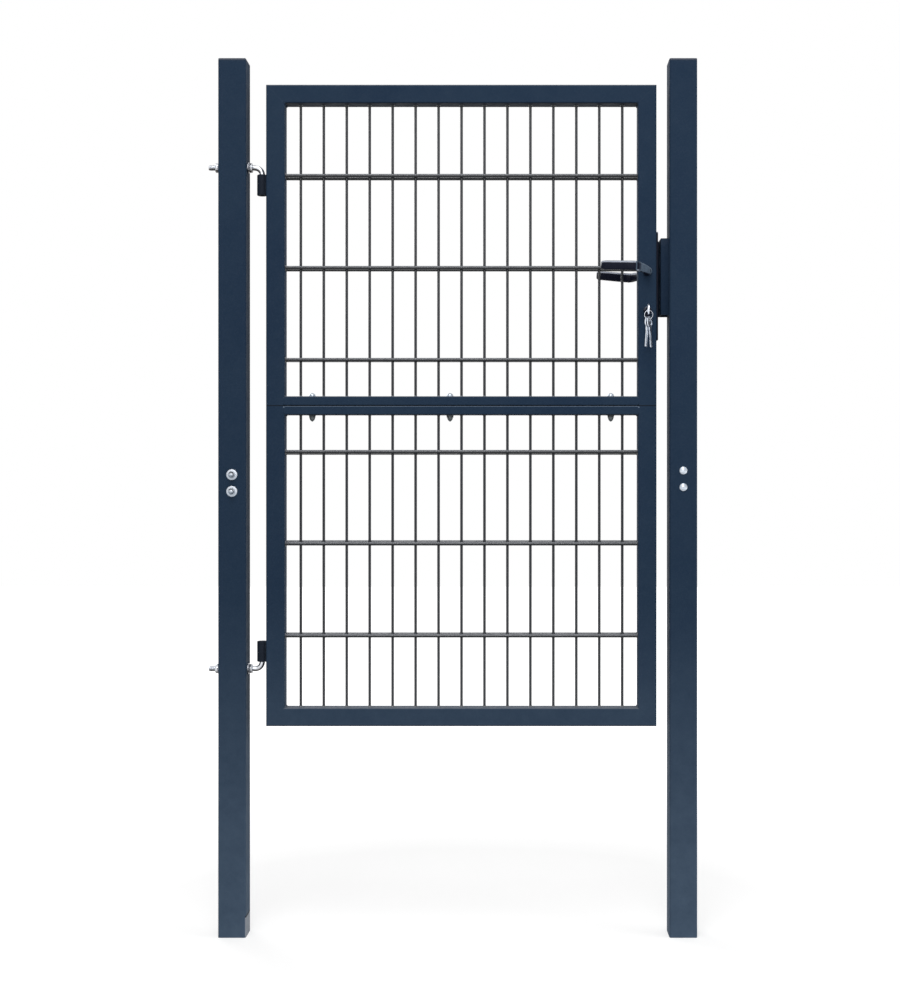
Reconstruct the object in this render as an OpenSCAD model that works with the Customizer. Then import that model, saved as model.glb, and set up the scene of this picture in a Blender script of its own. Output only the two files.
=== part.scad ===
// Single-leaf fence gate of welded twin-wire mat in a tube frame, with its two posts.
// The leaf is two half frames bolted together along their middle rails.
// Frame: +Z up, X runs from the hinge post to the latch post, Y is the depth.
// Origin: centre of the hinge post's foot. The front of the gate looks to -Y.

/* [Posts] */
// Height of each post with its cap
post_h = 1900; // [1700:10:2400]
// Width and depth of each square post
post_w = 60; // [48:1:80]
// Wall of the post tube
post_wall = 2; // [1.5:0.1:4]
// Outer corner radius of the post tube
post_corner = 4; // [3:0.5:8]
// Clear width between the two posts
opening_w = 915; // [700:5:1300]

/* [Post caps] */
// Height of the cap's visible rim
cap_rim_h = 5; // [3:0.5:10]
// Depth of the plug below the rim
cap_plug_h = 16; // [8:1:30]
// Gap between the plug and the tube's inner wall
cap_clear = 0.3; // [0.2:0.1:0.8]

/* [Leaf frame] */
// Height of the whole leaf
leaf_h = 1390; // [1200:10:1800]
// Distance of the leaf's upper edge below the top of the posts
leaf_drop = 55; // [20:5:150]
// Gap between the hinge post and the leaf
hinge_gap = 42; // [40:1:60]
// Gap between the leaf and the latch post
latch_gap = 27; // [24:1:40]
// Width and depth of the frame tube
frame_w = 40; // [36:1:60]
// Wall of the frame and middle rail tubes
frame_wall = 2; // [1.5:0.1:3]
// Outer corner radius of the frame tube
frame_corner = 3.5; // [2.5:0.5:6]
// Height of one middle rail
mid_rail_h = 20; // [16:1:30]
// Outer corner radius of the middle rail
mid_corner = 2.5; // [2:0.1:4]

/* [Wire mat] */
// Thickness of an upright wire
upright_d = 6; // [4:0.5:8]
// Spacing of the upright wires
upright_pitch = 50; // [40:5:100]
// Thickness of a cross wire
cross_d = 8; // [5:0.5:10]
// Spacing of the rows of twin cross wires
row_pitch = 200; // [150:10:250]
// Distance of the first row from the seam between the halves
first_row = 100; // [60:5:150]
// Depth that a weld sinks a cross wire into an upright
weld_sink = 0.4; // [0.2:0.1:0.8]

/* [Hinges] */
// Thickness of the threaded hinge rod and its pin
rod_d = 12; // [10:0.5:14]
// Radius of the centre line of the rod's bend
bend_r = 15; // [12:0.5:20]
// Length of rod that stands out past the outer face of the hinge post
rod_tail = 25; // [20:1:40]
// Distance of the upper hinge rod below the top of the leaf
upper_hinge_drop = 177; // [120:1:250]
// Distance of the lower hinge rod above the bottom of the leaf
lower_hinge_rise = 123; // [80:1:250]
// Outer diameter of the hinge barrel
barrel_d = 22; // [20:0.5:24]
// Length of the hinge barrel
barrel_len = 45; // [30:1:60]
// Radial gap between the pin and the barrel's bore
pin_clear = 0.1; // [0.05:0.05:0.5]
// Gap between the barrel and the bend that it rests on
seat_gap = 0.3; // [0.1:0.1:1]

/* [Lock] */
// Height of the lever spindle above the seam
spindle_rise = 290; // [200:5:400]
// Distance of the key cylinder below the spindle
cylinder_drop = 85; // [60:1:100]
// Height of the forend strip
forend_h = 235; // [200:5:260]
// Width of the forend strip
forend_w = 24; // [20:1:26]
// Thickness of the forend strip
forend_t = 4; // [2:0.5:5]
// Distance of the forend's middle below the spindle
forend_drop = 30; // [20:1:40]
// Height of the lock case behind the forend
case_h = 184; // [170:1:200]
// Thickness of the lock case
case_t = 15; // [12:0.5:20]
// Depth of the lock case
case_d = 33; // [30:0.5:34]
// Half length of the key cylinder
cylinder_half = 27; // [25:0.5:40]

/* [Keep] */
// Height of the keep box on the latch post
keep_h = 166; // [150:2:220]
// Distance of the keep's middle below the spindle
keep_drop = 11; // [0:1:20]
// Distance of the keep's front from the middle of the post
keep_front = 20; // [15:1:26]
// Wall of the keep box
keep_wall = 3; // [2:0.5:4]
// Gap between the keep and the forend
keep_clear = 5; // [5:0.5:8]
// Gap between the back of the closed leaf and the keep's stop
stop_gap = 5; // [5:0.5:6]
// Length of the stop in front of the keep's face
stop_reach = 13; // [9:0.5:14]

/* [Levers] */
// Length from the spindle to the lever's tip
lever_len = 104; // [80:1:130]
// Height of the lever's arm at its bend
lever_h = 20; // [14:0.5:24]
// Height of the lever's arm at its tip
lever_tip_h = 19; // [12:0.5:24]
// Thickness of the lever's arm
lever_t = 11; // [8:0.5:14]
// Distance of the arm's bend from the leaf's face
lever_reach = 78; // [50:1:90]
// Distance that the arm's tip is nearer to the leaf than its bend
lever_return = 18; // [0:1:20]
// Distance along the leaf from the spindle to the arm's bend
lever_bend = 25; // [18:1:35]
// Angle that a resting lever's arm rises towards its tip
lever_rise = 3; // [0:0.5:8]
// Width of the square spindle
spindle_w = 8; // [7:0.5:10]

/* [Keys] */
// Diameter of a key's bow
bow_d = 24; // [20:1:28]
// Thickness of a key
key_t = 2.2; // [1.8:0.1:2.6]
// Height of a key's blade
blade_h = 8; // [6:0.5:9]
// Length of a key's blade
blade_len = 37; // [28:1:42]
// Diameter of the hole in the bow
key_hole_d = 8; // [7:0.5:9]
// Radius of the key ring's centre line
ring_r = 9; // [7.5:0.1:12]
// Thickness of the key ring's wire
ring_wire = 1.8; // [1.2:0.1:2]

/* [Bolts] */
// Thread diameter of every bolt
bolt_d = 8; // [6:1:10]
// Spacing of the two bolts in a post
post_bolt_pitch = 36; // [26:1:60]
// Distance of the hinge post's lower bolt below the seam between the halves
hinge_post_bolt_drop = 186; // [100:1:300]
// Distance of the latch post's lower bolt below the seam between the halves
latch_post_bolt_drop = 177; // [100:1:300]
// Distance across a post bolt's domed head
dome_d = 17; // [15:0.5:20]
// Distance across a rail bolt's domed head
rail_dome_d = 14; // [12:0.5:15]
// Diameter of the washer under a post bolt's cap nut
washer_d = 24; // [18:0.5:26]

/* [Hidden] */

round_fn = 48;
small_fn = 32;
through = 1;

coat = [0.14, 0.20, 0.29];
wire_coat = [0.19, 0.21, 0.24];
zinc = [0.75, 0.76, 0.79];
black_coat = [0.08, 0.08, 0.10];
cap_plastic = [0.17, 0.23, 0.32];
nickel = [0.80, 0.80, 0.82];

// Places along X
post_face_x = post_w / 2;
latch_post_x = post_w / 2 + opening_w + post_w / 2;
leaf_x0 = post_face_x + hinge_gap;
leaf_x1 = post_face_x + opening_w - latch_gap;
leaf_w = leaf_x1 - leaf_x0;
hinge_x = leaf_x0 - barrel_d / 2;
lock_x = leaf_x1 - frame_w / 2;
forend_face_x = leaf_x1 + forend_t;
keep_face_x = forend_face_x + keep_clear;
latch_face_x = latch_post_x - post_w / 2;

// Heights
half_h = leaf_h / 2;
leaf_z = post_h - leaf_drop - leaf_h;
seam_z = leaf_z + half_h;
hinge_post_bolt_z = seam_z - hinge_post_bolt_drop;
latch_post_bolt_z = seam_z - latch_post_bolt_drop;
upper_rod_z = leaf_z + leaf_h - upper_hinge_drop;
lower_rod_z = leaf_z + lower_hinge_rise;
spindle_z = seam_z + spindle_rise;
cylinder_z = spindle_z - cylinder_drop;
forend_z = spindle_z - forend_drop;
keep_z = spindle_z - keep_drop;
case_rise = 3;
latch_rise = 28;
dead_drop = 39;
case_z = forend_z + case_rise;
latch_z = spindle_z + latch_rise;
dead_z = spindle_z - dead_drop;

// Wire mat
clear_w = leaf_w - 2 * frame_w;
clear_h = half_h - frame_w - mid_rail_h;
upright_n = floor(clear_w / upright_pitch);
first_upright_x = (leaf_x0 + leaf_x1) / 2 - (upright_n - 1) * upright_pitch / 2;
row_n = floor((half_h - frame_w - first_row - cross_d) / row_pitch) + 1;
cross_y = upright_d / 2 + cross_d / 2 - weld_sink;

// Fasteners
bolt_hole_d = bolt_d + 1;
dome_h = 4.5;
rail_dome_h = 6;
hex_across = 13 / 8 * bolt_d;
cap_nut_hex_h = 7;
cap_nut_h = 14.5;
washer_t = 2;
rail_washer_d = 2 * bolt_d;
rail_bolt_bays = [1, floor(upright_n / 2), upright_n - 1];
rod_hole_d = rod_d + 1;
rod_nut_across = 1.5 * rod_d;
rod_nut_h = 8;
rod_washer_d = 2 * rod_d;
rod_washer_t = 2.5;
nut_clear = 0.1;
pin_short = 6;
pin_len = barrel_len - pin_short;
rod_chamfer = 1;
weld_w = 10;
weld_end = 2;

// Lock
bolt_clear = 0.4;
window_extra = 3;
latch_h = 26;
latch_t = 11;
dead_h = 28;
dead_t = 10;
bolt_len = 17;
journal_d = 14;
journal_clear = 0.2;
boss_d = 19;
boss_len = 12;
neck_root = 3;
lever_stand_off = 0.6;
socket_clear = 0.1;
spindle_half = 38;
case_hole_d = spindle_w * sqrt(2) + 0.8;
screw_d = 4;
screw_head_d = 8;
screw_inset = 11;
screw_len = 3.4;

// Key cylinder, of the usual pear-shaped section
barrel_round_d = 17;
barrel_leg_w = 10;
barrel_total_h = 33;
leg_drop = barrel_total_h - barrel_round_d / 2 - barrel_leg_w / 2;
cylinder_clear = 0.3;
plug_d = 12.8;
plug_len = 24;
plug_clear = 0.1;
plug_gap = 0.1;
slot_wall = 1;
key_end_gap = 1;
keyway_depth = 10;

// Keys
key_neck = 6;
key_hole_in = 7;
hole_to_shoulder = key_neck + bow_d - key_hole_in;
key_hole_y = -cylinder_half - hole_to_shoulder;
ring_rest = 0.4;
loose_rest = 1.1;
ring_hang = key_hole_d / 2 - ring_wire / 2 - ring_rest;
ring_z = cylinder_z - ring_hang - ring_r;
loose_spread = 13;
loose_lean = 8.5;
loose_face = 60;

// ---- Sections and small shapes ----

// Rectangle with round corners, centred
module round_rect(w, d, r) {
    square([w - 2 * r, d], center = true);
    square([w, d - 2 * r], center = true);
    for (sx = [-1, 1], sy = [-1, 1])
        translate([sx * (w / 2 - r), sy * (d / 2 - r)]) circle(r = r, $fn = round_fn);
}

module tube_section(w, d, r, wall) {
    difference() {
        round_rect(w, d, r);
        round_rect(w - 2 * wall, d - 2 * wall, max(r - wall, 0.5));
    }
}

// Turns a shape drawn along +Z so that it runs along +X, with its X as Y and its Y as Z
module along_x() {
    rotate([90, 0, 90]) children();
}

// Turns a shape drawn along +Z so that it runs along -Y, with its Y as Z
module along_front() {
    rotate([90, 0, 0]) children();
}

// Ball cap with a flat base on Z = 0
module dome(d, h) {
    ball_r = (d * d / 4 + h * h) / (2 * h);
    intersection() {
        translate([0, 0, h - ball_r]) sphere(r = ball_r, $fn = round_fn);
        cylinder(d = d, h = h, $fn = round_fn);
    }
}

module hex_prism(across, h) {
    cylinder(d = across / cos(30), h = h, $fn = 6);
}

module washer(d, hole_d, t) {
    difference() {
        cylinder(d = d, h = t, $fn = round_fn);
        translate([0, 0, -through]) cylinder(d = hole_d, h = t + 2 * through, $fn = round_fn);
    }
}

// Washer with a closed dome nut on it, base on Z = 0
module cap_nut(base_d) {
    round_d = 0.92 * hex_across;
    cylinder(d = base_d, h = washer_t, $fn = round_fn);
    translate([0, 0, washer_t]) hex_prism(hex_across, cap_nut_hex_h);
    translate([0, 0, cap_nut_h - round_d / 2]) sphere(d = round_d, $fn = small_fn);
    translate([0, 0, washer_t])
        cylinder(d = round_d, h = cap_nut_h - washer_t - round_d / 2, $fn = small_fn);
}

// ---- Posts ----

module post_tube() {
    linear_extrude(height = post_h - cap_rim_h)
        tube_section(post_w, post_w, post_corner, post_wall);
}

module post_bolt_holes(first_z) {
    for (i = [0, 1])
        translate([0, 0, first_z + i * post_bolt_pitch]) rotate([90, 0, 0])
            cylinder(d = bolt_hole_d, h = post_w + 2 * through, center = true, $fn = round_fn);
}

module rod_hole(z) {
    translate([0, 0, z]) rotate([0, 90, 0])
        cylinder(d = rod_hole_d, h = post_w + 2 * through, center = true, $fn = round_fn);
}

module hinge_post() {
    color(coat)
        difference() {
            post_tube();
            post_bolt_holes(hinge_post_bolt_z);
            rod_hole(upper_rod_z);
            rod_hole(lower_rod_z);
        }
}

module latch_post() {
    color(coat)
        translate([latch_post_x, 0, 0])
            difference() {
                post_tube();
                post_bolt_holes(latch_post_bolt_z);
            }
}

// Cap with a flat rim, a bevelled top and a plug that fits the tube
module post_cap() {
    inner_w = post_w - 2 * post_wall - 2 * cap_clear;
    bevel = min(1.5, cap_rim_h / 2);
    translate([0, 0, post_h - cap_rim_h]) {
        linear_extrude(height = cap_rim_h - bevel) round_rect(post_w, post_w, post_corner);
        translate([0, 0, cap_rim_h - bevel])
            linear_extrude(height = bevel)
                round_rect(post_w - 2 * bevel, post_w - 2 * bevel, post_corner);
        translate([0, 0, -cap_plug_h])
            linear_extrude(height = cap_plug_h)
                tube_section(inner_w, inner_w, max(post_corner - post_wall, 0.5), post_wall);
    }
}

module hinge_post_cap() {
    color(cap_plastic) post_cap();
}

module latch_post_cap() {
    color(cap_plastic) translate([latch_post_x, 0, 0]) post_cap();
}

// Bolt through a post, with its domed head at the front and its cap nut at the back
module post_bolt() {
    along_front() {
        translate([0, 0, -post_w / 2])
            cylinder(d = bolt_d, h = post_w, $fn = small_fn);
        translate([0, 0, post_w / 2]) dome(dome_d, dome_h);
        translate([0, 0, -post_w / 2]) mirror([0, 0, 1]) cap_nut(washer_d);
    }
}

module hinge_post_bolts() {
    color(zinc)
        for (i = [0, 1])
            translate([0, 0, hinge_post_bolt_z + i * post_bolt_pitch]) mirror([0, 1, 0]) post_bolt();
}

module latch_post_bolts() {
    color(zinc)
        for (i = [0, 1])
            translate([latch_post_x, 0, latch_post_bolt_z + i * post_bolt_pitch]) post_bolt();
}

// ---- Hinges ----

// Threaded rod through the post, bent up into the pin. Rod on Z = 0.
module hook() {
    tail_x = -post_face_x - rod_tail;
    end_d = rod_d - 2 * rod_chamfer;
    translate([tail_x, 0, 0]) rotate([0, 90, 0])
        cylinder(d1 = end_d, d2 = rod_d, h = rod_chamfer, $fn = round_fn);
    translate([tail_x + rod_chamfer, 0, 0]) rotate([0, 90, 0])
        cylinder(d = rod_d, h = hinge_x - bend_r - tail_x - rod_chamfer, $fn = round_fn);
    translate([hinge_x - bend_r, 0, bend_r]) rotate([90, 0, 0]) rotate([0, 0, -90])
        rotate_extrude(angle = 90, $fn = round_fn)
            translate([bend_r, 0]) circle(d = rod_d, $fn = round_fn);
    translate([hinge_x, 0, bend_r])
        cylinder(d = rod_d, h = pin_len, $fn = round_fn);
    translate([hinge_x, 0, bend_r + pin_len])
        cylinder(d1 = rod_d, d2 = end_d, h = rod_chamfer, $fn = round_fn);
}

module upper_hinge_hook() {
    color(zinc) translate([0, 0, upper_rod_z]) mirror([0, 0, 1]) hook();
}

module lower_hinge_hook() {
    color(zinc) translate([0, 0, lower_rod_z]) hook();
}

// Washer and nut against one face of the post, drawn outwards from Z = 0
module rod_nut() {
    washer(rod_washer_d, rod_d + 2 * nut_clear, rod_washer_t);
    translate([0, 0, rod_washer_t])
        difference() {
            hex_prism(rod_nut_across, rod_nut_h);
            translate([0, 0, -through])
                cylinder(d = rod_d + 2 * nut_clear, h = rod_nut_h + 2 * through, $fn = round_fn);
        }
}

module hinge_nuts(z) {
    translate([post_face_x, 0, z]) rotate([0, 90, 0]) rod_nut();
    translate([-post_face_x, 0, z]) rotate([0, -90, 0]) rod_nut();
}

module upper_hinge_nuts() {
    color(zinc) hinge_nuts(upper_rod_z);
}

module lower_hinge_nuts() {
    color(zinc) hinge_nuts(lower_rod_z);
}

// Barrel with the weld that joins it to the stile, standing on Z = 0
module barrel() {
    difference() {
        union() {
            cylinder(d = barrel_d, h = barrel_len, $fn = round_fn);
            translate([0, -weld_w / 2, weld_end])
                cube([barrel_d / 2, weld_w, barrel_len - 2 * weld_end]);
        }
        translate([0, 0, -through])
            cylinder(d = rod_d + 2 * pin_clear, h = barrel_len + 2 * through, $fn = round_fn);
    }
}

module upper_hinge_barrel() {
    color(coat)
        translate([hinge_x, 0, upper_rod_z - bend_r - seat_gap - barrel_len]) barrel();
}

module lower_hinge_barrel() {
    color(coat)
        translate([hinge_x, 0, lower_rod_z + bend_r + seat_gap]) barrel();
}

// ---- Half frame, drawn from the seam upwards ----

module in_upper_half() {
    translate([0, 0, seam_z]) children();
}

module in_lower_half() {
    translate([0, 0, seam_z]) mirror([0, 0, 1]) children();
}

// Flat plate in the XZ plane that covers the whole depth of the frame
module face_plate(points) {
    along_front()
        linear_extrude(height = frame_w + 2 * through, center = true) polygon(points);
}

module hinge_side_stile() {
    intersection() {
        translate([leaf_x0 + frame_w / 2, 0, 0])
            linear_extrude(height = half_h)
                tube_section(frame_w, frame_w, frame_corner, frame_wall);
        face_plate([
            [leaf_x0, 0], [leaf_x0 + frame_w, 0],
            [leaf_x0 + frame_w, half_h - frame_w], [leaf_x0, half_h]
        ]);
    }
}

module lock_side_stile() {
    translate([leaf_x0 + leaf_x1, 0, 0]) mirror([1, 0, 0]) hinge_side_stile();
}

module outer_rail() {
    intersection() {
        translate([leaf_x0, 0, half_h - frame_w / 2]) along_x()
            linear_extrude(height = leaf_w)
                tube_section(frame_w, frame_w, frame_corner, frame_wall);
        face_plate([
            [leaf_x0, half_h], [leaf_x0 + frame_w, half_h - frame_w],
            [leaf_x1 - frame_w, half_h - frame_w], [leaf_x1, half_h]
        ]);
    }
}

module rail_bolt_places() {
    for (bay = rail_bolt_bays)
        translate([first_upright_x + (bay - 0.5) * upright_pitch, 0, 0]) children();
}

module mid_rail() {
    difference() {
        translate([leaf_x0 + frame_w, 0, mid_rail_h / 2]) along_x()
            linear_extrude(height = clear_w)
                tube_section(frame_w, mid_rail_h, mid_corner, frame_wall);
        rail_bolt_places()
            translate([0, 0, -through])
                cylinder(d = bolt_hole_d, h = mid_rail_h + 2 * through, $fn = round_fn);
    }
}

// Eight-sided bar standing on Z = 0, measured across its flats
module bar(d, h) {
    sides = 8;
    rotate([0, 0, 180 / sides]) cylinder(d = d / cos(180 / sides), h = h, $fn = sides);
}

module mat() {
    for (i = [0 : upright_n - 1])
        translate([first_upright_x + i * upright_pitch, 0, mid_rail_h]) bar(upright_d, clear_h);
    for (row = [0 : row_n - 1], side = [-1, 1])
        translate([leaf_x0 + frame_w, side * cross_y, first_row + row * row_pitch])
            along_x() bar(cross_d, clear_w);
}

// ---- Openings that the lock needs in its stile ----

module pear_section(extra) {
    circle(d = barrel_round_d + 2 * extra, $fn = round_fn);
    translate([-barrel_leg_w / 2 - extra, -leg_drop])
        square([barrel_leg_w + 2 * extra, leg_drop]);
    translate([0, -leg_drop]) circle(d = barrel_leg_w + 2 * extra, $fn = round_fn);
}

module pear_prism(extra, half_len) {
    translate([lock_x, 0, cylinder_z]) along_front()
        linear_extrude(height = 2 * half_len, center = true) pear_section(extra);
}

module lock_openings() {
    journal_hole_d = journal_d + 2 * journal_clear;
    translate([lock_x, 0, spindle_z]) rotate([90, 0, 0])
        cylinder(d = journal_hole_d, h = frame_w + 2 * through, center = true, $fn = round_fn);
    pear_prism(cylinder_clear, frame_w / 2 + through);
    translate([lock_x, -case_t / 2 - bolt_clear, case_z - case_h / 2 - bolt_clear])
        cube([frame_w, case_t + 2 * bolt_clear, case_h + 2 * bolt_clear]);
}

module hinge_stile_upper() {
    color(coat) in_upper_half() hinge_side_stile();
}

module lock_stile_upper() {
    color(coat)
        difference() {
            in_upper_half() lock_side_stile();
            lock_openings();
            forend_screw_places()
                cylinder(d = screw_d, h = 2 * (forend_t + frame_wall + through),
                    center = true, $fn = small_fn);
        }
}

module top_rail() {
    color(coat) in_upper_half() outer_rail();
}

module mid_rail_upper() {
    color(coat) in_upper_half() mid_rail();
}

module mat_upper() {
    color(wire_coat) in_upper_half() mat();
}

module hinge_stile_lower() {
    color(coat) in_lower_half() hinge_side_stile();
}

module lock_stile_lower() {
    color(coat) in_lower_half() lock_side_stile();
}

module bottom_rail() {
    color(coat) in_lower_half() outer_rail();
}

module mid_rail_lower() {
    color(coat) in_lower_half() mid_rail();
}

module mat_lower() {
    color(wire_coat) in_lower_half() mat();
}

// ---- Bolts that join the two halves ----

module rail_bolts() {
    color(zinc)
        translate([0, 0, seam_z]) rail_bolt_places() {
            translate([0, 0, -mid_rail_h])
                cylinder(d = bolt_d, h = 2 * mid_rail_h, $fn = small_fn);
            translate([0, 0, mid_rail_h]) {
                cylinder(d = rail_washer_d, h = washer_t, $fn = round_fn);
                translate([0, 0, washer_t]) dome(rail_dome_d, rail_dome_h);
            }
        }
}

module rail_nuts() {
    color(zinc)
        translate([0, 0, seam_z - mid_rail_h]) rail_bolt_places()
            mirror([0, 0, 1]) cap_nut(rail_washer_d);
}

// ---- Lock ----

module bolt_pocket(z, h, t, extra) {
    translate([forend_face_x - bolt_len - extra, -t / 2 - extra, z - h / 2 - extra])
        cube([bolt_len + extra + through, t + 2 * extra, h + 2 * extra]);
}

module lock_case() {
    color(zinc)
        difference() {
            translate([leaf_x1 - case_d, -case_t / 2, case_z - case_h / 2])
                cube([case_d, case_t, case_h]);
            translate([lock_x, 0, spindle_z]) rotate([90, 0, 0])
                cylinder(d = case_hole_d, h = case_t + 2 * through, center = true, $fn = round_fn);
            pear_prism(cylinder_clear, case_t / 2 + through);
            bolt_pocket(latch_z, latch_h, latch_t, bolt_clear);
            bolt_pocket(dead_z, dead_h, dead_t, bolt_clear);
        }
}

module forend_screw_places() {
    for (side = [-1, 1])
        translate([forend_face_x, 0, forend_z + side * (forend_h / 2 - screw_inset)])
            rotate([0, 90, 0]) children();
}

module lock_forend() {
    color(black_coat)
        difference() {
            translate([leaf_x1, -forend_w / 2, forend_z - forend_h / 2])
                cube([forend_t, forend_w, forend_h]);
            bolt_pocket(latch_z, latch_h, latch_t, bolt_clear);
            bolt_pocket(dead_z, dead_h, dead_t, bolt_clear);
            forend_screw_places()
                cylinder(d = screw_head_d + 2 * nut_clear, h = 2 * forend_t + 2 * through,
                    center = true, $fn = small_fn);
        }
}

// Flat-headed screws that sit level with the forend
module forend_screws() {
    color(zinc)
        forend_screw_places()
            translate([0, 0, -forend_t]) {
                cylinder(d = screw_head_d, h = forend_t, $fn = small_fn);
                translate([0, 0, -screw_len])
                    cylinder(d = screw_d - 2 * nut_clear, h = screw_len, $fn = small_fn);
            }
}

module lock_bolt(z, h, t) {
    translate([forend_face_x - bolt_len, -t / 2, z - h / 2]) cube([bolt_len, t, h]);
}

module latch_bolt() {
    color(nickel) lock_bolt(latch_z, latch_h, latch_t);
}

module dead_bolt() {
    color(nickel) lock_bolt(dead_z, dead_h, dead_t);
}

module lock_cylinder() {
    color(black_coat)
        difference() {
            pear_prism(0, cylinder_half);
            translate([lock_x, -cylinder_half - through, cylinder_z]) rotate([-90, 0, 0])
                cylinder(d = plug_d + 2 * plug_clear, h = plug_len + plug_gap + through, $fn = round_fn);
            translate([lock_x - key_t / 2 - nut_clear, cylinder_half - keyway_depth,
                    cylinder_z - blade_h / 2 - nut_clear])
                cube([key_t + 2 * nut_clear, keyway_depth + through, blade_h + 2 * nut_clear]);
        }
}

// ---- Keep ----

// Box of folded sheet on the latch post, open at its top and bottom. Its back wall runs on
// behind the closed leaf as a stop, so the leaf swings to the front only.
module keep() {
    reach = latch_face_x - keep_face_x;
    stop_y = frame_w / 2 + stop_gap;
    keep_y0 = -keep_front;
    keep_depth = stop_y + keep_wall - keep_y0;
    color(coat) {
        difference() {
            translate([keep_face_x, keep_y0, keep_z - keep_h / 2])
                cube([reach, keep_depth, keep_h]);
            translate([keep_face_x + keep_wall, keep_y0 + keep_wall, keep_z - keep_h / 2 - through])
                cube([reach, keep_depth - 2 * keep_wall, keep_h + 2 * through]);
            for (window = [[latch_z, latch_h, latch_t], [dead_z, dead_h, dead_t]])
                translate([keep_face_x - through, -window[2] / 2 - window_extra,
                        window[0] - window[1] / 2 - window_extra])
                    cube([keep_wall + 2 * through, window[2] + 2 * window_extra,
                        window[1] + 2 * window_extra]);
        }
        translate([keep_face_x - stop_reach, stop_y, keep_z - keep_h / 2])
            cube([stop_reach + keep_wall, keep_wall, keep_h]);
    }
}

// ---- Levers ----

module arm_bend() {
    translate([-lever_bend, -lever_reach, 0])
        cylinder(d = lever_t, h = lever_h, center = true, $fn = small_fn);
}

// Lever on the front of the leaf, its spindle on the origin and the leaf's face at Y = 0
module lever() {
    difference() {
        union() {
            translate([0, frame_wall, 0]) along_front()
                cylinder(d = journal_d, h = frame_wall + boss_len / 2, $fn = round_fn);
            translate([0, -lever_stand_off, 0]) along_front()
                cylinder(d = boss_d, h = boss_len, $fn = round_fn);
            hull() {
                translate([0, -boss_len, 0]) along_front()
                    cylinder(d = boss_d, h = neck_root, $fn = small_fn);
                arm_bend();
            }
            hull() {
                arm_bend();
                translate([-lever_len + lever_t / 2, -lever_reach + lever_return, 0])
                    cylinder(d = lever_t, h = lever_tip_h, center = true, $fn = small_fn);
            }
        }
        socket_w = spindle_w + 2 * socket_clear;
        translate([-socket_w / 2, frame_w / 2 - spindle_half - socket_clear, -socket_w / 2])
            cube([socket_w, spindle_half, socket_w]);
    }
}

module front_lever() {
    color(black_coat) translate([lock_x, -frame_w / 2, spindle_z]) rotate([0, lever_rise, 0]) lever();
}

module back_lever() {
    color(black_coat) mirror([0, 1, 0])
        translate([lock_x, -frame_w / 2, spindle_z]) rotate([0, lever_rise, 0]) lever();
}

module lever_spindle() {
    color(zinc)
        translate([lock_x, 0, spindle_z]) rotate([0, lever_rise, 0])
            cube([spindle_w, 2 * spindle_half, spindle_w], center = true);
}

// ---- Keys ----

module cylinder_plug() {
    slot_w = key_t + 2 * nut_clear;
    slot_h = blade_h + 2 * nut_clear;
    color(black_coat)
        difference() {
            translate([lock_x, -cylinder_half, cylinder_z]) rotate([-90, 0, 0])
                cylinder(d = plug_d, h = plug_len, $fn = round_fn);
            translate([lock_x - slot_w / 2, -cylinder_half - through, cylinder_z - slot_h / 2])
                cube([slot_w, plug_len - slot_wall + through, slot_h]);
        }
}

// Key in the XZ plane, hanging from the centre of its hole, with a blade of the given length
module key(blade) {
    into_bow = 2;
    along_front()
        linear_extrude(height = key_t, center = true)
            difference() {
                union() {
                    translate([0, key_hole_in - bow_d / 2]) circle(d = bow_d, $fn = round_fn);
                    translate([-blade_h / 2, -hole_to_shoulder - blade])
                        square([blade_h, blade + key_neck + into_bow]);
                }
                circle(d = key_hole_d, $fn = small_fn);
            }
}

// The key in the lock stops where the plug's slot ends
module key_in_lock() {
    color(nickel)
        translate([lock_x, key_hole_y, cylinder_z]) rotate([90, 0, 0]) rotate([0, 0, 90])
            key(plug_len - slot_wall - key_end_gap);
}

module key_ring() {
    color(zinc)
        translate([lock_x, key_hole_y, ring_z]) rotate([90, 0, 0])
            rotate_extrude($fn = round_fn) translate([ring_r, 0]) circle(d = ring_wire, $fn = small_fn);
}

// Key that hangs from the ring's lower side, to the left or to the right of its lowest point
module loose_key(side) {
    hang = key_hole_d / 2 - ring_wire / 2 - loose_rest;
    color(nickel)
        translate([
                lock_x + side * ring_r * sin(loose_spread), key_hole_y,
                ring_z - ring_r * cos(loose_spread) - hang
            ])
            rotate([0, 0, loose_face]) rotate([0, -side * loose_lean, 0]) key(blade_len);
}

module loose_key_left() {
    loose_key(-1);
}

module loose_key_right() {
    loose_key(1);
}

hinge_post();
latch_post();
hinge_post_cap();
latch_post_cap();
hinge_post_bolts();
latch_post_bolts();
upper_hinge_hook();
lower_hinge_hook();
upper_hinge_nuts();
lower_hinge_nuts();
keep();
hinge_stile_upper();
lock_stile_upper();
top_rail();
mid_rail_upper();
mat_upper();
hinge_stile_lower();
lock_stile_lower();
bottom_rail();
mid_rail_lower();
mat_lower();
upper_hinge_barrel();
lower_hinge_barrel();
rail_bolts();
rail_nuts();
lock_case();
lock_forend();
forend_screws();
latch_bolt();
dead_bolt();
lock_cylinder();
front_lever();
back_lever();
lever_spindle();
cylinder_plug();
key_in_lock();
key_ring();
loose_key_left();
loose_key_right();
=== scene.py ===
import math

import bmesh
import bpy
from mathutils import Matrix, Vector


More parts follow.
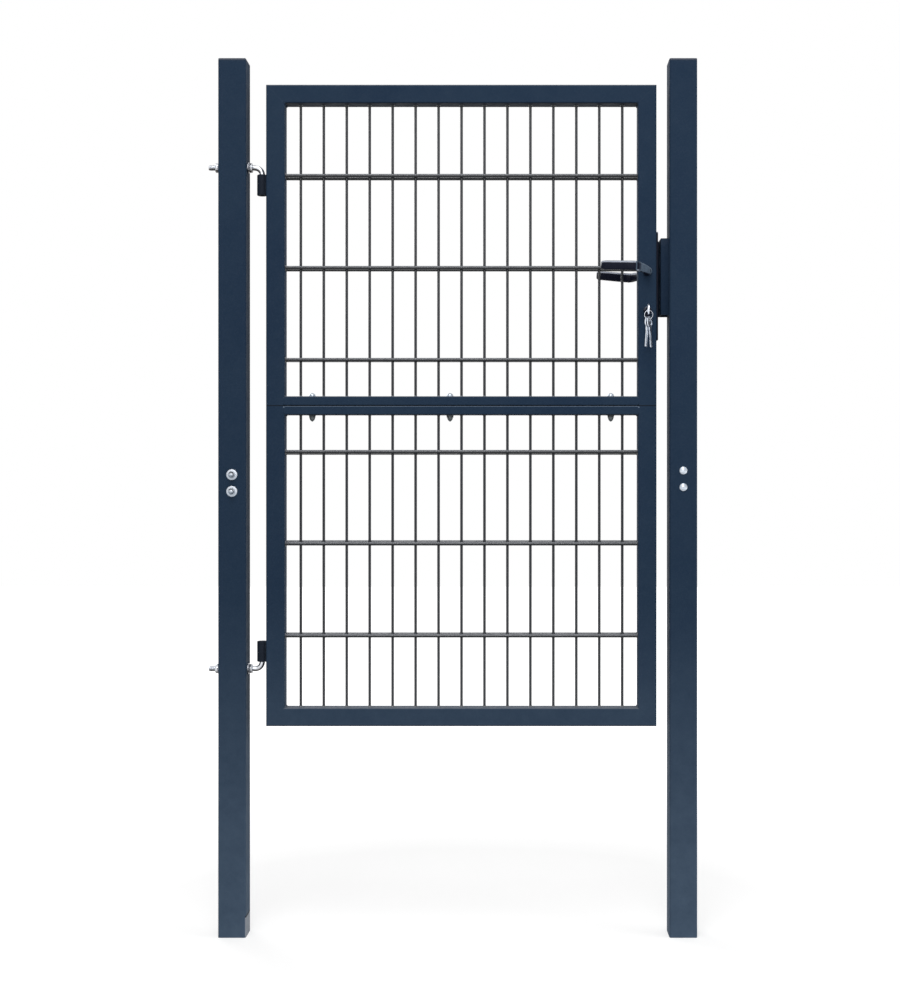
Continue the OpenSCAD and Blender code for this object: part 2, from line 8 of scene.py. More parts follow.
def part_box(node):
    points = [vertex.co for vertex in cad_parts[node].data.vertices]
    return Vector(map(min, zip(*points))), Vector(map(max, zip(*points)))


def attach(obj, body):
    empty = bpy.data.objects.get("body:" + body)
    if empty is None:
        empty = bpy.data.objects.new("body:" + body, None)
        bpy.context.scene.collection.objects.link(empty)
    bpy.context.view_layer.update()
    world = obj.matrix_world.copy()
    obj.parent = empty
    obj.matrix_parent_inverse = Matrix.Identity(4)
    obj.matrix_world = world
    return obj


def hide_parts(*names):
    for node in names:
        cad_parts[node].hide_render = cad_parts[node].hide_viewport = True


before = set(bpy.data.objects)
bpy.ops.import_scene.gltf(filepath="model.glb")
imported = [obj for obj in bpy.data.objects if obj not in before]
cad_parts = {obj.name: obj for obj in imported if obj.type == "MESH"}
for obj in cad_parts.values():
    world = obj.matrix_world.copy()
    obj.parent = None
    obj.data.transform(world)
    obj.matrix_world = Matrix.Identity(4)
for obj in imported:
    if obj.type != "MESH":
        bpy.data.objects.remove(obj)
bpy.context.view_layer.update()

# Looks of a single-leaf fence gate: its rounded, bent and welded metal, its finishes and a plain studio.
# Lengths are in metres. The front of the gate looks to -Y.

MM = 0.001
UP = Vector((0, 0, 1))
ALONG = Vector((1, 0, 0))
FRONT = Vector((0, -1, 0))
BACK = Vector((0, 1, 0))
shift = Matrix.Translation

# ---- Places taken from the frame ----

post_low, post_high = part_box("hinge_post")
latch_post_low, latch_post_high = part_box("latch_post")
stile_low, stile_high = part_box("hinge_stile_upper")
mid_low, mid_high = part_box("mid_rail_upper")
forend_low, forend_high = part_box("lock_forend")
keep_low, keep_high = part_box("keep")
cylinder_low, cylinder_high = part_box("lock_cylinder")
plug_low, plug_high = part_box("cylinder_plug")
ring_low, ring_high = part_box("key_ring")
spindle_low, spindle_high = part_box("lever_spindle")

seam_z = mid_low.z
leaf_x0 = stile_low.x
leaf_z0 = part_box("bottom_rail")[0].z
leaf_z1 = stile_high.z
frame_w = stile_high.x - stile_low.x
frame_y = frame_w / 2
inner_x0 = mid_low.x
inner_x1 = mid_high.x
mid_rail_h = mid_high.z - mid_low.z
post_w = post_high.x - post_low.x
latch_post_x = (latch_post_low.x + latch_post_high.x) / 2
plug_centre = (plug_low + plug_high) / 2
lock_x = plug_centre.x
cylinder_z = plug_centre.z
spindle_z = (spindle_low.z + spindle_high.z) / 2

# ---- Sizes that the frame's boxes don't say ----

upright_d = 6 * MM
upright_pitch = 50 * MM
cross_d = 8 * MM
row_pitch = 200 * MM
first_row = 100 * MM
bolt_d = 8 * MM
washer_t = 2 * MM
hex_across = 13 * MM
nut_seat_r = 0.6 * hex_across
post_head_d, post_head_h = 17 * MM, 4.5 * MM
rail_head_d, rail_head_h = 14 * MM, 6 * MM
rail_washer_d = 16 * MM
rod_d = 12 * MM
rod_nut_across = 18 * MM
rod_nut_h = 8 * MM
rod_washer_t = 2.5 * MM
bend_r = 15 * MM
rod_hole_d = rod_d + 0.2 * MM
key_hole_d = 8 * MM
bow_d = 24 * MM
key_t = 2.2 * MM
blade_h = 8 * MM
blade_len = 37 * MM
hole_in, key_neck = 7 * MM, 6 * MM
ring_wire = 1.8 * MM

ROUND = 48
SMOOTH_ANGLE = math.radians(35)


# ---- Modelling helpers ----

def clear_selection():
    """Leaves edit mode and deselects everything."""
    if bpy.context.object and bpy.context.object.mode != "OBJECT":
        leave_edit()
    bpy.ops.object.select_all(action="DESELECT")


def leave_edit():
    bpy.ops.object.mode_set(mode="OBJECT")


def activate(piece):
    clear_selection()
    piece.select_set(True)
    bpy.context.view_layer.objects.active = piece


def edit(piece):
    activate(piece)
    bpy.ops.object.mode_set(mode="EDIT")


def take_all():
    bpy.ops.mesh.select_all(action="SELECT")


def extrude(step):
    bpy.ops.mesh.extrude_region_move(TRANSFORM_OT_translate={"value": step})


def discard(*pieces):
    for piece in pieces:
        bpy.data.objects.remove(piece)


def rotate(degrees, axis="Z"):
    """Matrix of a turn about an axis through the origin."""
    return Matrix.Rotation(math.radians(degrees), 4, axis)


def place_in_mesh(name):
    """Names the new shape and moves its place, turn and size into its mesh."""
    bpy.ops.object.transform_apply(location=True, rotation=True, scale=True)
    piece = bpy.context.object
    piece.name = piece.data.name = name
    return piece


def new_block(name, low, high):
    clear_selection()
    low, high = Vector(low), Vector(high)
    bpy.ops.mesh.primitive_cube_add(size=1, location=(low + high) / 2)
    bpy.context.object.scale = high - low
    return place_in_mesh(name)


def new_bar(name, start, axis, radius, length, sides=ROUND):
    """A round bar, or a prism of few sides, from start along the axis."""
    clear_selection()
    axis = Vector(axis).normalized()
    bpy.ops.mesh.primitive_cylinder_add(
        vertices=sides, radius=radius, depth=length,
        location=Vector(start) + axis * length / 2,
        rotation=axis.to_track_quat("Z", "Y").to_euler())
    return place_in_mesh(name)


def pick(piece, kind, test):
    """Selects the faces, edges or vertices that pass the test, in edit mode."""
    bpy.ops.mesh.select_mode(type=kind)
    bpy.ops.mesh.select_all(action="DESELECT")
    shape = bmesh.from_edit_mesh(piece.data)
    for item in {"FACE": shape.faces, "EDGE": shape.edges, "VERT": shape.verts}[kind]:
        if test(item):
            item.select_set(True)
    bmesh.update_edit_mesh(piece.data)


def middle(edge):
    return (edge.verts[0].co + edge.verts[1].co) / 2


def runs_along(edge, axis):
    return abs((edge.verts[0].co - edge.verts[1].co).normalized().dot(axis)) > 0.999


def bevel_edges(piece, width, segments, test):
    edit(piece)
    pick(piece, "EDGE", test)
    bpy.ops.mesh.bevel(offset=width, segments=segments, affect="EDGES", clamp_overlap=True)
    leave_edit()


def outline(name, points):
    """Draws a chain of edges through the points and stays in edit mode with all of it selected."""
    clear_selection()
    bpy.ops.mesh.primitive_plane_add(size=MM)
    piece = place_in_mesh(name)
    edit(piece)
    bpy.ops.mesh.select_mode(type="VERT")
    take_all()
    bpy.ops.mesh.merge(type="CENTER")
    bpy.ops.transform.translate(value=points[0])
    for before, after in zip(points, points[1:]):
        step = Vector(after) - Vector(before)
        bpy.ops.mesh.extrude_vertices_move(TRANSFORM_OT_translate={"value": step})
    take_all()
    return piece


def turned(name, profile, steps=ROUND):
    """A lathe-turned solid about Z, from an outline of (radius, height) points."""
    piece = outline(name, [(radius, 0, height) for radius, height in profile])
    bpy.ops.mesh.spin(steps=steps, angle=2 * math.pi, center=(0, 0, 0), axis=(0, 0, 1))
    close_shape()
    return piece


def close_shape():
    """Merges doubles and turns the faces of the piece in edit mode outwards."""
    take_all()
    bpy.ops.mesh.remove_doubles(threshold=0.002 * MM)
    bpy.ops.mesh.normals_make_consistent(inside=False)
    leave_edit()


def arc(radius, centre, first, last, steps):
    """Points of (radius, height) on an arc; its angles are in degrees from the horizontal."""
    angles = [math.radians(first + (last - first) * i / steps) for i in range(steps + 1)]
    return [(centre[0] + radius * math.cos(a), centre[1] + radius * math.sin(a)) for a in angles]


def apply_modifier(piece, kind, **settings):
    activate(piece)
    modifier = piece.modifiers.new(kind.lower(), kind)
    for key, value in settings.items():
        setattr(modifier, key, value)
    bpy.ops.object.modifier_apply(modifier=modifier.name)


def soften(piece, width, segments=2, angle=40):
    """Rounds every edge that is sharper than the angle."""
    apply_modifier(piece, "BEVEL", width=width, segments=segments, limit_method="ANGLE",
                   angle_limit=math.radians(angle), harden_normals=False)


def wind(piece, pitch, turns, steps):
    """Winds an outline up Z into a closed screw shape."""
    apply_modifier(piece, "SCREW", angle=2 * math.pi, screw_offset=pitch, iterations=turns, steps=steps,
                   render_steps=steps, use_merge_vertices=False, axis="Z")
    edit(piece)
    close_shape()


def combine(piece, tool, operation="DIFFERENCE"):
    """Cuts the tool out, joins it on or keeps what both share, and uses the tool up."""
    apply_modifier(piece, "BOOLEAN", object=tool, operation=operation, solver="EXACT")
    discard(tool)
    return piece


def repeat(piece, count, step):
    apply_modifier(piece, "ARRAY", count=count, use_relative_offset=False,
                   use_constant_offset=True, constant_offset_displace=step)
    return piece


def copy_of(piece, matrix, name=""):
    """A copy with its own mesh, moved by the matrix."""
    twin = piece.copy()
    twin.data = piece.data.copy()
    twin.name = twin.data.name = name or piece.name
    bpy.context.scene.collection.objects.link(twin)
    return moved(twin, matrix)


def moved(piece, matrix):
    piece.data.transform(matrix)
    if matrix.determinant() < 0:
        piece.data.flip_normals()
    return piece


def join(name, pieces):
    activate(pieces[0])
    for piece in pieces[1:]:
        piece.select_set(True)
    if len(pieces) > 1:
        bpy.ops.object.join()
    whole = bpy.context.object
    whole.name = whole.data.name = name
    return whole


def facing(place, axis):
    """Matrix that stands a shape drawn along +Z at the place, pointing along the axis."""
    turn = Vector(axis).to_track_quat("Z", "Y").to_matrix().to_4x4()
    return shift(place) @ turn


def coat_with(piece, material):
    piece.data.materials.clear()
    piece.data.materials.append(material)


def finish_piece(piece, body, slot, material, *nodes):
    """Shades the piece, gives it its finish, ties it to its body and hides the nodes that it stands in for.
    """
    activate(piece)
    bpy.ops.object.shade_smooth_by_angle(angle=SMOOTH_ANGLE)
    coat_with(piece, material)
    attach(piece, body)
    if nodes:
        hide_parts(*nodes)


# ---- Finishes ----

# The first colour is a painted highlight on the lower rail's rounded top edge at the mid rails' seam, the
# second painted shade in that seam; the last two mark the bare scuff.
SEAM_LIP_HIGHLIGHT = (0.12, 0.155, 0.21)
JOINT_SHADE = (0.004, 0.006, 0.010)
BARE_STEEL = (0.27, 0.29, 0.325)
SCUFF_EDGE = (0.010, 0.012, 0.016)


def add_node(owner, kind, inputs=None, **settings):
    """Adds a shader node, sets it up and links or sets its inputs."""
    node = owner.node_tree.nodes.new("ShaderNode" + kind)
    for key, value in settings.items():
        setattr(node, key, value)
    for key, value in (inputs or {}).items():
        if isinstance(value, bpy.types.NodeSocket):
            owner.node_tree.links.new(value, node.inputs[key])
        else:
            node.inputs[key].default_value = value
    return node


class Finish:
    """A material in the making: colours laid over each other, with patterns in the piece's own frame."""

    def __init__(self, name, **constants):
        self.material = bpy.data.materials.new(name)
        self.material.use_nodes = True
        self.shader = self.material.node_tree.nodes["Principled BSDF"]
        for key, value in constants.items():
            self.shader.inputs[key.replace("_", " ")].default_value = value
        self.place = self.node("TexCoord").outputs["Object"]
        self.colour = None

    def node(self, kind, inputs=None, **settings):
        return add_node(self.material, kind, inputs, **settings)

    def link(self, output, name):
        self.material.node_tree.links.new(output, self.shader.inputs[name])

    def share_of(self, vector, axis):
        return self.node("SeparateXYZ", {0: vector}).outputs[axis]

    def noise(self, scale, detail, roughness, place=None):
        return self.node("TexNoise", {"Vector": place or self.place, "Scale": scale, "Detail": detail,
                                      "Roughness": roughness}).outputs["Fac"]

    def spread(self, value, low, high, to_low=0.0, to_high=1.0):
        """Maps low..high of a value onto to_low..to_high, held at both ends."""
        return self.node("MapRange", {"Value": value, "From Min": low, "From Max": high,
                                      "To Min": to_low, "To Max": to_high}).outputs["Result"]

    def patches(self, scale, detail, roughness, *span):
        """Noise, spread over the span."""
        return self.spread(self.noise(scale, detail, roughness), *span)

    def times(self, *shares):
        product = shares[0]
        for share in shares[1:]:
            product = self.node("Math", {0: product, 1: share}, operation="MULTIPLY").outputs[0]
        return product

    def normal(self, axis):
        """One share of the surface's normal, in the piece's own frame."""
        return self.share_of(self.node("TexCoord").outputs["Normal"], axis)

    def rise(self, low, high):
        """0 to 1 as the upward share of the surface's normal goes from low to high."""
        return self.spread(self.normal("Z"), low, high)

    def edges(self, radius):
        """1 on the edges of a shape and 0 on its flats."""
        rounded = self.node("Bevel", {"Radius": radius}, samples=4).outputs["Normal"]
        flat = self.node("NewGeometry").outputs["Normal"]
        agree = self.node("VectorMath", {0: rounded, 1: flat}, operation="DOT_PRODUCT")
        return self.spread(agree.outputs["Value"], 0.995, 0.85)

    def band(self, height, half):
        """1 within half of the height and 0 elsewhere."""
        level = self.share_of(self.place, "Z")
        return self.node("Math", {0: level, 1: height, 2: half}, operation="COMPARE").outputs[0]

    def cover(self, colour, *shares):
        """Lays a colour over what is there, as strong as its shares multiplied."""
        node = self.node("Mix", {0: self.times(*shares)}, data_type="RGBA")
        for socket, layer in ((node.inputs[6], self.colour), (node.inputs[7], colour)):
            if isinstance(layer, bpy.types.NodeSocket):
                self.material.node_tree.links.new(layer, socket)
            else:
                socket.default_value = (*layer, 1)
        self.colour = node.outputs[2]

    def close(self, roughness, height, strength, distance):
        """Links the colour, the roughness and the bump to the shader."""
        self.link(self.colour, "Base Color")
        self.link(roughness, "Roughness")
        bump = self.node("Bump", {"Height": height, "Strength": strength, "Distance": distance})
        self.link(bump.outputs["Normal"], "Normal")
        return self.material


def powder_coat(name, dark, light, worn, painted_light_low_down, painted_sheen, gloss, roughness, under=None, lit_flank=None,
                seam_at=None, scuffed=False):
    """Satin powder coat: mottled colour, orange peel, rubbed edges, painted light that makes it paler low
    down, and a painted sheen on what faces up, which on the navy coats stands partly for dirt on top.

    settled is the colour of that painted sheen or highlight on top, and how far a face has to look up, and
    not straight up, for it; under is the colour of painted shade on what faces down, and flank the colour of
    painted light on what looks along +X.
    """
    paint = Finish(name, Specular_IOR_Level=gloss)
    paint.colour = dark
    paint.cover(light, paint.patches(5, 4, 0.6, 0.35, 0.65))
    paint.cover(worn, paint.patches(420, 2, 0.5, 0.4, 0.75), 0.12)
    # Painted light: the coat turns paler towards the foot.
    low_down = paint.spread(paint.share_of(paint.place, "Z"), 0.72, -0.08)
    paint.cover(painted_light_low_down, low_down, paint.patches(22, 5, 0.7, 0.25, 0.75, 0.55, 0.95))
    # Painted sheen on what faces up: a painted highlight on the wires and the black coat, and partly dirt on
    # the navy coats.
    painted_top = [paint.rise(*painted_sheen[1:3]), paint.patches(60, 4, 0.7, 0.25, 0.65, 0.6, 1.0)]
    if len(painted_sheen) > 3:
        painted_top.append(paint.rise(*painted_sheen[3:]))
    paint.cover(painted_sheen[0], *painted_top, 0.85)
    # Painted shade on what faces down.
    if under:
        paint.cover(under, paint.rise(-0.5, -0.95))
    # Painted light on the faces that look along +X.
    if lit_flank:
        paint.cover(lit_flank, paint.spread(paint.normal("X"), 0.3, 0.75),
                    paint.patches(160, 3, 0.6, 0.25, 0.6, 0.7, 1.0))
    paint.cover(worn, paint.edges(1.6 * MM), paint.patches(70, 4, 0.7, 0.38, 0.62), 0.5)
    # At the mid rails' seam: a painted highlight on the lower rail's rounded top edge, and painted shade in
    # the joint.
    if seam_at is not None:
        paint.cover(SEAM_LIP_HIGHLIGHT, paint.rise(0.02, 0.15), paint.band(seam_at - 3.1 * MM, 1.5 * MM))
        paint.cover(JOINT_SHADE, paint.band(seam_at - 0.5 * MM, 1.0 * MM))
    if scuffed:
        scuff(paint)
    return paint.close(paint.patches(35, 4, 0.65, 0.3, 0.7, *roughness),
                       paint.noise(650, 2, 0.5), 0.22, 0.25 * MM)


def scuff(paint):
    """The bare patch on the inner side of the hinge post's foot, and the dark line along its top."""
    top, fade, line = 46 * MM, 1.5 * MM, 4 * MM
    shaken = paint.node("Math", {0: paint.noise(90, 4, 0.7), 1: 5 * MM, 2: paint.share_of(paint.place, "Z")},
                        operation="MULTIPLY_ADD").outputs[0]
    inner = paint.spread(paint.normal("X"), 0.45, 0.8)
    here = paint.times(inner, paint.spread(paint.share_of(paint.place, "X"), 0.1, 0.09))
    paint.cover(BARE_STEEL, here, paint.patches(150, 4, 0.7, 0.3, 0.6, 0.7, 1.0),
                paint.spread(shaken, top, top - fade))
    paint.cover(SCUFF_EDGE, here, paint.spread(shaken, top - fade, top),
                paint.spread(shaken, top + line, top + line - fade))


def plated(name, dark, light, roughness, scratch_scale, under=None, painted_top=None):
    """Plated metal: uneven plating, pits and fine scratches, with painted shade under it or on what faces
    up.

    under is the colour of the painted shade and how far a face may look down and up before it is free of it
    again.
    """
    plate = Finish(name, Metallic=1.0)
    plate.colour = dark
    plate.cover(light, plate.patches(120, 4, 0.6, 0.35, 0.65))
    # Painted shade on what faces down.
    if under:
        painted_shade, full, shade_ends = under
        plate.cover(painted_shade, plate.rise(shade_ends, full))
    # Painted shade on what faces up.
    if painted_top:
        plate.cover(painted_top, plate.rise(0.14, 0.45))
    stretched = plate.node("Mapping", {"Vector": plate.place, "Scale": (1, 1, 0.12)}).outputs[0]
    return plate.close(plate.patches(260, 4, 0.6, 0.3, 0.7, *roughness),
                       plate.noise(scratch_scale, 3, 0.6, stretched), 0.08, 0.1 * MM)


def moulded_plastic(name):
    """Matt moulded plastic with a fine grain and paler, rubbed corners."""
    plastic = Finish(name, Specular_IOR_Level=0.25)
    plastic.colour = (0.030, 0.040, 0.062)
    plastic.cover((0.040, 0.050, 0.074), plastic.patches(40, 4, 0.6, 0.35, 0.65))
    plastic.cover((0.10, 0.11, 0.13), plastic.edges(1.2 * MM), plastic.patches(90, 4, 0.7, 0.35, 0.6), 0.5)
    return plastic.close(plastic.patches(60, 3, 0.55, 0.3, 0.7, 0.55, 0.7), plastic.noise(900, 2, 0.5),
                         0.3, 0.2 * MM)


# In these coats the paler colour low down is painted light, the colour on what faces up a painted sheen that
# stands partly for dirt, and the colour under painted shade.
navy = dict(dark=(0.0085, 0.0215, 0.0455), light=(0.0115, 0.0260, 0.0505),
            worn=(0.045, 0.065, 0.095), painted_light_low_down=(0.073, 0.109, 0.160),
            painted_sheen=((0.115, 0.130, 0.155), 0.15, 0.65), under=(0.0060, 0.0100, 0.0180),
            gloss=0.10, roughness=(0.66, 0.80))
coat = powder_coat("navy_powder_coat", **navy, seam_at=seam_z)
post_coat = powder_coat("navy_powder_coat_scuffed", **navy, scuffed=True)
# The keep's coat is a darker copy of the navy coat: painted shade.
keep_coat = powder_coat("shaded_navy_powder_coat", **{
    **navy, "dark": (0.0040, 0.0130, 0.0310), "light": (0.0055, 0.0160, 0.0350)})
# The barrels' coat is a darker copy of the navy coat: painted shade.
barrel_coat = powder_coat(
    "barrel_shade_navy_powder_coat", dark=(0.0085, 0.0125, 0.0210), light=(0.0115, 0.0160, 0.0260),
    worn=(0.03, 0.04, 0.055), painted_light_low_down=(0.020, 0.028, 0.040), painted_sheen=((0.05, 0.055, 0.07), 0.6, 0.95),
    gloss=0.08, roughness=(0.6, 0.7))
# On the wires the colour on what faces up is a painted highlight along their upper half.
wire_coat = powder_coat(
    "grey_wire_coat", dark=(0.005, 0.007, 0.010), light=(0.009, 0.011, 0.015),
    worn=(0.04, 0.043, 0.05), painted_light_low_down=(0.030, 0.034, 0.042), painted_sheen=((0.130, 0.138, 0.155), -0.05, 0.45),
    gloss=0.32, roughness=(0.16, 0.22))
# In the black coat the pale colour in a band on the upper rounded edges is a painted highlight.
black = dict(dark=(0.0035, 0.0045, 0.0120), light=(0.0055, 0.0065, 0.0150),
             worn=(0.04, 0.045, 0.06), painted_light_low_down=(0.02, 0.025, 0.035),
             painted_sheen=((0.42, 0.45, 0.53), 0.08, 0.22, 0.80, 0.58), gloss=0.06, roughness=(0.34, 0.44))
black_coat = powder_coat("black_powder_coat", **black)
# The levers' coat adds painted light on the side that looks along +X.
lever_coat = powder_coat("black_powder_coat_lit_side", **black, lit_flank=(0.075, 0.104, 0.142))
zinc = plated("bright_zinc", (0.42, 0.47, 0.54), (0.56, 0.61, 0.68), (0.28, 0.40), 700)
# The hooks' zinc, paler than the rest, has painted shade on what faces down.
hook_zinc = plated("bright_zinc_shaded_under", (0.56, 0.58, 0.62), (0.72, 0.74, 0.78), (0.24, 0.36), 700,
                   under=((0.070, 0.066, 0.064), -0.62, 0.08))
# The hinge post's bolts have painted shade on what faces down and on what faces up.
nut_zinc = plated("bright_zinc_shaded_top_and_under", (0.46, 0.49, 0.54), (0.62, 0.65, 0.71), (0.30, 0.42), 700,
                  under=((0.24, 0.28, 0.33), -0.14, 0.10), painted_top=(0.08, 0.09, 0.10))
# The rail nuts under the rails are a darker copy of the zinc: painted shade.
shaded_zinc = plated("shaded_zinc", (0.070, 0.080, 0.085), (0.110, 0.120, 0.125), (0.42, 0.58), 700)
nickel = plated("nickel_plate", (0.64, 0.68, 0.75), (0.78, 0.82, 0.88), (0.26, 0.36), 900)
cap_plastic = moulded_plastic("cap_plastic_grain")


# ---- Post caps ----

def post_cap(post):
    """Moulded cap with a rounded rim, a low crown, a groove above the tube and a hollow plug."""
    low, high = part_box(f"{post}_cap")
    rim_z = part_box(post)[1].z
    groove, corner, rim_round, crown, crown_in, plug_hollow = (
        0.6 * MM, 4 * MM, 1.3 * MM, 0.5 * MM, 2.2 * MM, 14 * MM)
    cap = new_block(f"{post}_top", (low.x, low.y, rim_z + groove), (high.x, high.y, high.z - crown))
    bevel_edges(cap, corner, 6, lambda e: runs_along(e, UP))
    bevel_edges(cap, rim_round, 4, lambda e: all(v.co.z > high.z - crown - 0.1 * MM for v in e.verts))
    edit(cap)
    pick(cap, "FACE", lambda f: f.normal.z > 0.99)
    bpy.ops.mesh.inset(thickness=crown_in, depth=crown)
    pick(cap, "FACE", lambda f: f.normal.z < -0.99)
    for step_in, step_up in ((0.7 * MM, -groove), (1.6 * MM, low.z - rim_z), (2 * MM, plug_hollow)):
        bpy.ops.mesh.inset(thickness=step_in)
        extrude((0, 0, step_up))
    leave_edit()
    finish_piece(cap, "posts", "cap_plastic", cap_plastic, f"{post}_cap")


# ---- Bolts and nuts ----

def washer(outer_d, inner_d, thickness, fall=0.0):
    """Stamped washer on Z = 0 with a rolled rim; outside the nut its face falls by fall to the rim."""
    edge = 0.45 * MM
    ri, ro = inner_d / 2, outer_d / 2
    rim = thickness - fall
    return turned("washer", [
        (ri, 0), (ro - edge, 0), (ro, edge), (ro, rim - edge * 1.3), (ro - edge * 1.5, rim),
        (min(nut_seat_r, ro - edge * 2), thickness), (ri + edge, thickness), (ri, thickness - edge),
        (ri, 0)])


def hexagon(across, height, chamfer_below=False):
    """Hexagon prism on Z = 0 with its corners turned off at 30 degrees."""
    corner, flat_r, spare = across / 2 / math.cos(math.radians(30)), across * 0.47, 1 * MM
    fall = (corner + spare - flat_r) * math.tan(math.radians(30))
    prism = new_bar("nut", (0, 0, 0), UP, corner, height, 6)
    foot = [(0, 0), (flat_r, 0), (corner + spare, fall)]
    if not chamfer_below:
        foot = [(0, -spare), (corner + spare, -spare)]
    cone = turned("chamfer_cone", foot + [(corner + spare, height - fall), (flat_r, height), (0, height)])
    return combine(prism, cone, "INTERSECT")


def cap_nut(washer_d, hex_h=7 * MM, point=0.9):
    """Washer with a closed cap nut on it, base on Z = 0; a point above 1 makes its crown a cone."""
    total_h, foot_h, steps = 14.5 * MM, 1.2 * MM, 8
    round_r = 0.46 * hex_across
    nut = moved(hexagon(hex_across, hex_h), shift((0, 0, washer_t)))
    dome_base = washer_t + hex_h - 0.6 * MM
    dome_h = total_h - dome_base - foot_h
    dome = [(round_r * math.cos(math.pi / 2 * i / steps) ** point,
             dome_base + foot_h + dome_h * math.sin(math.pi / 2 * i / steps)) for i in range(steps)]
    sunk = dome_base - 2 * MM
    crown = turned("crown", [(0, sunk), (round_r, sunk)] + dome + [(0, total_h)])
    combine(nut, crown, "UNION")
    soften(nut, 0.25 * MM, 1, 50)
    slope = 0.07
    fall = slope * (washer_d / 2 - nut_seat_r)
    return join("nut", [nut, washer(washer_d, bolt_d + 0.6 * MM, washer_t, max(fall, 0))])


def domed_head(diameter, height):
    """Low domed head with a flat rolled rim, base on Z = 0."""
    rim, edge = 0.8 * MM, 0.3 * MM
    ball_r = ((diameter / 2) ** 2 + (height - rim) ** 2) / (2 * (height - rim))
    half = math.degrees(math.asin(diameter / 2 / ball_r))
    crown = arc(ball_r, (0, height - ball_r), 90 - half, 90, 9)[:-1]
    return turned("head", [(0, 0), (diameter / 2 - edge, 0), (diameter / 2, edge)]
                  + crown + [(0, height)])


def shank(length):
    """Plain bolt shank from Z = -length up to 0."""
    chamfer, r = 0.8 * MM, bolt_d / 2 - 0.05 * MM
    return turned("shank", [(0, -length), (r - chamfer, -length), (r, chamfer - length), (r, 0), (0, 0)], 24)


def post_bolt_pair(post, centre_x, head_side, finish):
    """Two bolts through a post, the domed heads on the side that head_side points to."""
    node = f"{post}_bolts"
    low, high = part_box(node)
    washer_d, face = high.x - low.x, post_w / 2
    bolt = join("bolt", [domed_head(post_head_d, post_head_h), shank(post_w)])
    moved(bolt, facing((0, head_side * face, 0), (0, head_side, 0)))
    nut = moved(cap_nut(washer_d), facing((0, -head_side * face, 0), (0, -head_side, 0)))
    pieces = []
    for z, turn in ((low.z + washer_d / 2, 8), (high.z - washer_d / 2, -17)):
        at = shift((centre_x, 0, z))
        pieces.append(copy_of(bolt, at))
        pieces.append(copy_of(nut, at @ rotate(turn, "Y")))
    discard(bolt, nut)
    finish_piece(join(f"{post}_bolt_pair", pieces), "posts", "zinc", finish, node)


def rail_fasteners():
    """The three domed bolts through both middle rails, and their cap nuts below."""
    low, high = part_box("rail_bolts")
    first, last = low.x + rail_washer_d / 2, high.x - rail_washer_d / 2
    bays = round((last - first) / upright_pitch)
    places = (first, first + bays // 2 * upright_pitch, last)
    head = moved(domed_head(rail_head_d, rail_head_h), shift((0, 0, washer_t)))
    bolt = join("bolt", [head, shank(2 * mid_rail_h), washer(rail_washer_d, bolt_d, washer_t)])
    nut = moved(cap_nut(rail_washer_d, 4 * MM, 1.7), rotate(180, "X"))
    bolts = [copy_of(bolt, shift((x, 0, seam_z + mid_rail_h))) for x in places]
    nuts = [copy_of(nut, shift((x, 0, seam_z - mid_rail_h)) @ rotate(turn))
            for x, turn in zip(places, (12, 41, -9))]
    discard(bolt, nut)
    finish_piece(join("rail_bolt_set", bolts), "leaf", "zinc", zinc, "rail_bolts")
    finish_piece(join("rail_nut_set", nuts), "leaf", "zinc", shaded_zinc, "rail_nuts")


# ---- Hinges ----

rod_z = {"upper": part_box("upper_hinge_hook")[1].z - rod_d / 2,
         "lower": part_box("lower_hinge_hook")[0].z + rod_d / 2}


def thread(start_x, end_x, radius, pitch):
    """Screw ridge round a rod that lies along X."""
    depth, half = 0.95 * MM, 0.46 * pitch
    ridge = outline("thread_ridge", [
        (radius - depth, 0, -half), (radius, 0, -half * 0.2), (radius, 0, half * 0.2),
        (radius - depth, 0, half)])
    bpy.ops.mesh.edge_face_add()
    leave_edit()
    wind(ridge, pitch, int((end_x - start_x) / pitch), 20)
    return moved(ridge, facing((start_x + half, 0, 0), ALONG))


def hook(place):
    """Threaded rod through the post, bent into the pin; the upper pin points down, the lower one up."""
    node = f"{place}_hinge_hook"
    low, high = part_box(node)
    r, chamfer, run_out = rod_d / 2, 1 * MM, 1.2 * MM
    core_r = r - 0.9 * MM
    pin_x = high.x - r
    thread_end = post_high.x + rod_washer_t + rod_nut_h + 2.5 * MM
    clear_selection()
    bpy.ops.mesh.primitive_circle_add(vertices=32, radius=core_r - chamfer / 2, fill_type="NGON",
                                      location=(low.x, 0, 0), rotation=(0, math.pi / 2, 0))
    rod = place_in_mesh("rod")
    edit(rod)
    pick(rod, "FACE", lambda f: True)

    def run_on(step, size=1.0, about=None):
        extrude(step)
        if about is not None:
            bpy.ops.transform.resize(value=(size, size, size), center_override=about)

    wide = core_r / (core_r - chamfer / 2)
    run_on((chamfer, 0, 0), wide, (low.x + chamfer, 0, 0))
    run_on((thread_end - low.x - chamfer, 0, 0))
    run_on((run_out, 0, 0), r / core_r, (thread_end + run_out, 0, 0))
    run_on((pin_x - bend_r - thread_end - run_out, 0, 0))
    bpy.ops.mesh.spin(steps=14, angle=math.pi / 2, center=(pin_x - bend_r, 0, bend_r), axis=(0, 1, 0))
    pin_end = high.z - low.z - r
    run_on((0, 0, pin_end - chamfer - bend_r))
    run_on((0, 0, chamfer), (r - chamfer) / r, (pin_x, 0, pin_end))
    close_shape()
    ridge = thread(low.x + chamfer, thread_end, r, 1.75 * MM)
    whole = join(f"{place}_hook", [rod, ridge])
    moved(whole, shift((0, 0, rod_z[place])) @ Matrix.Scale(1 if place == "lower" else -1, 4, UP))
    finish_piece(whole, "posts", "zinc", hook_zinc, node)


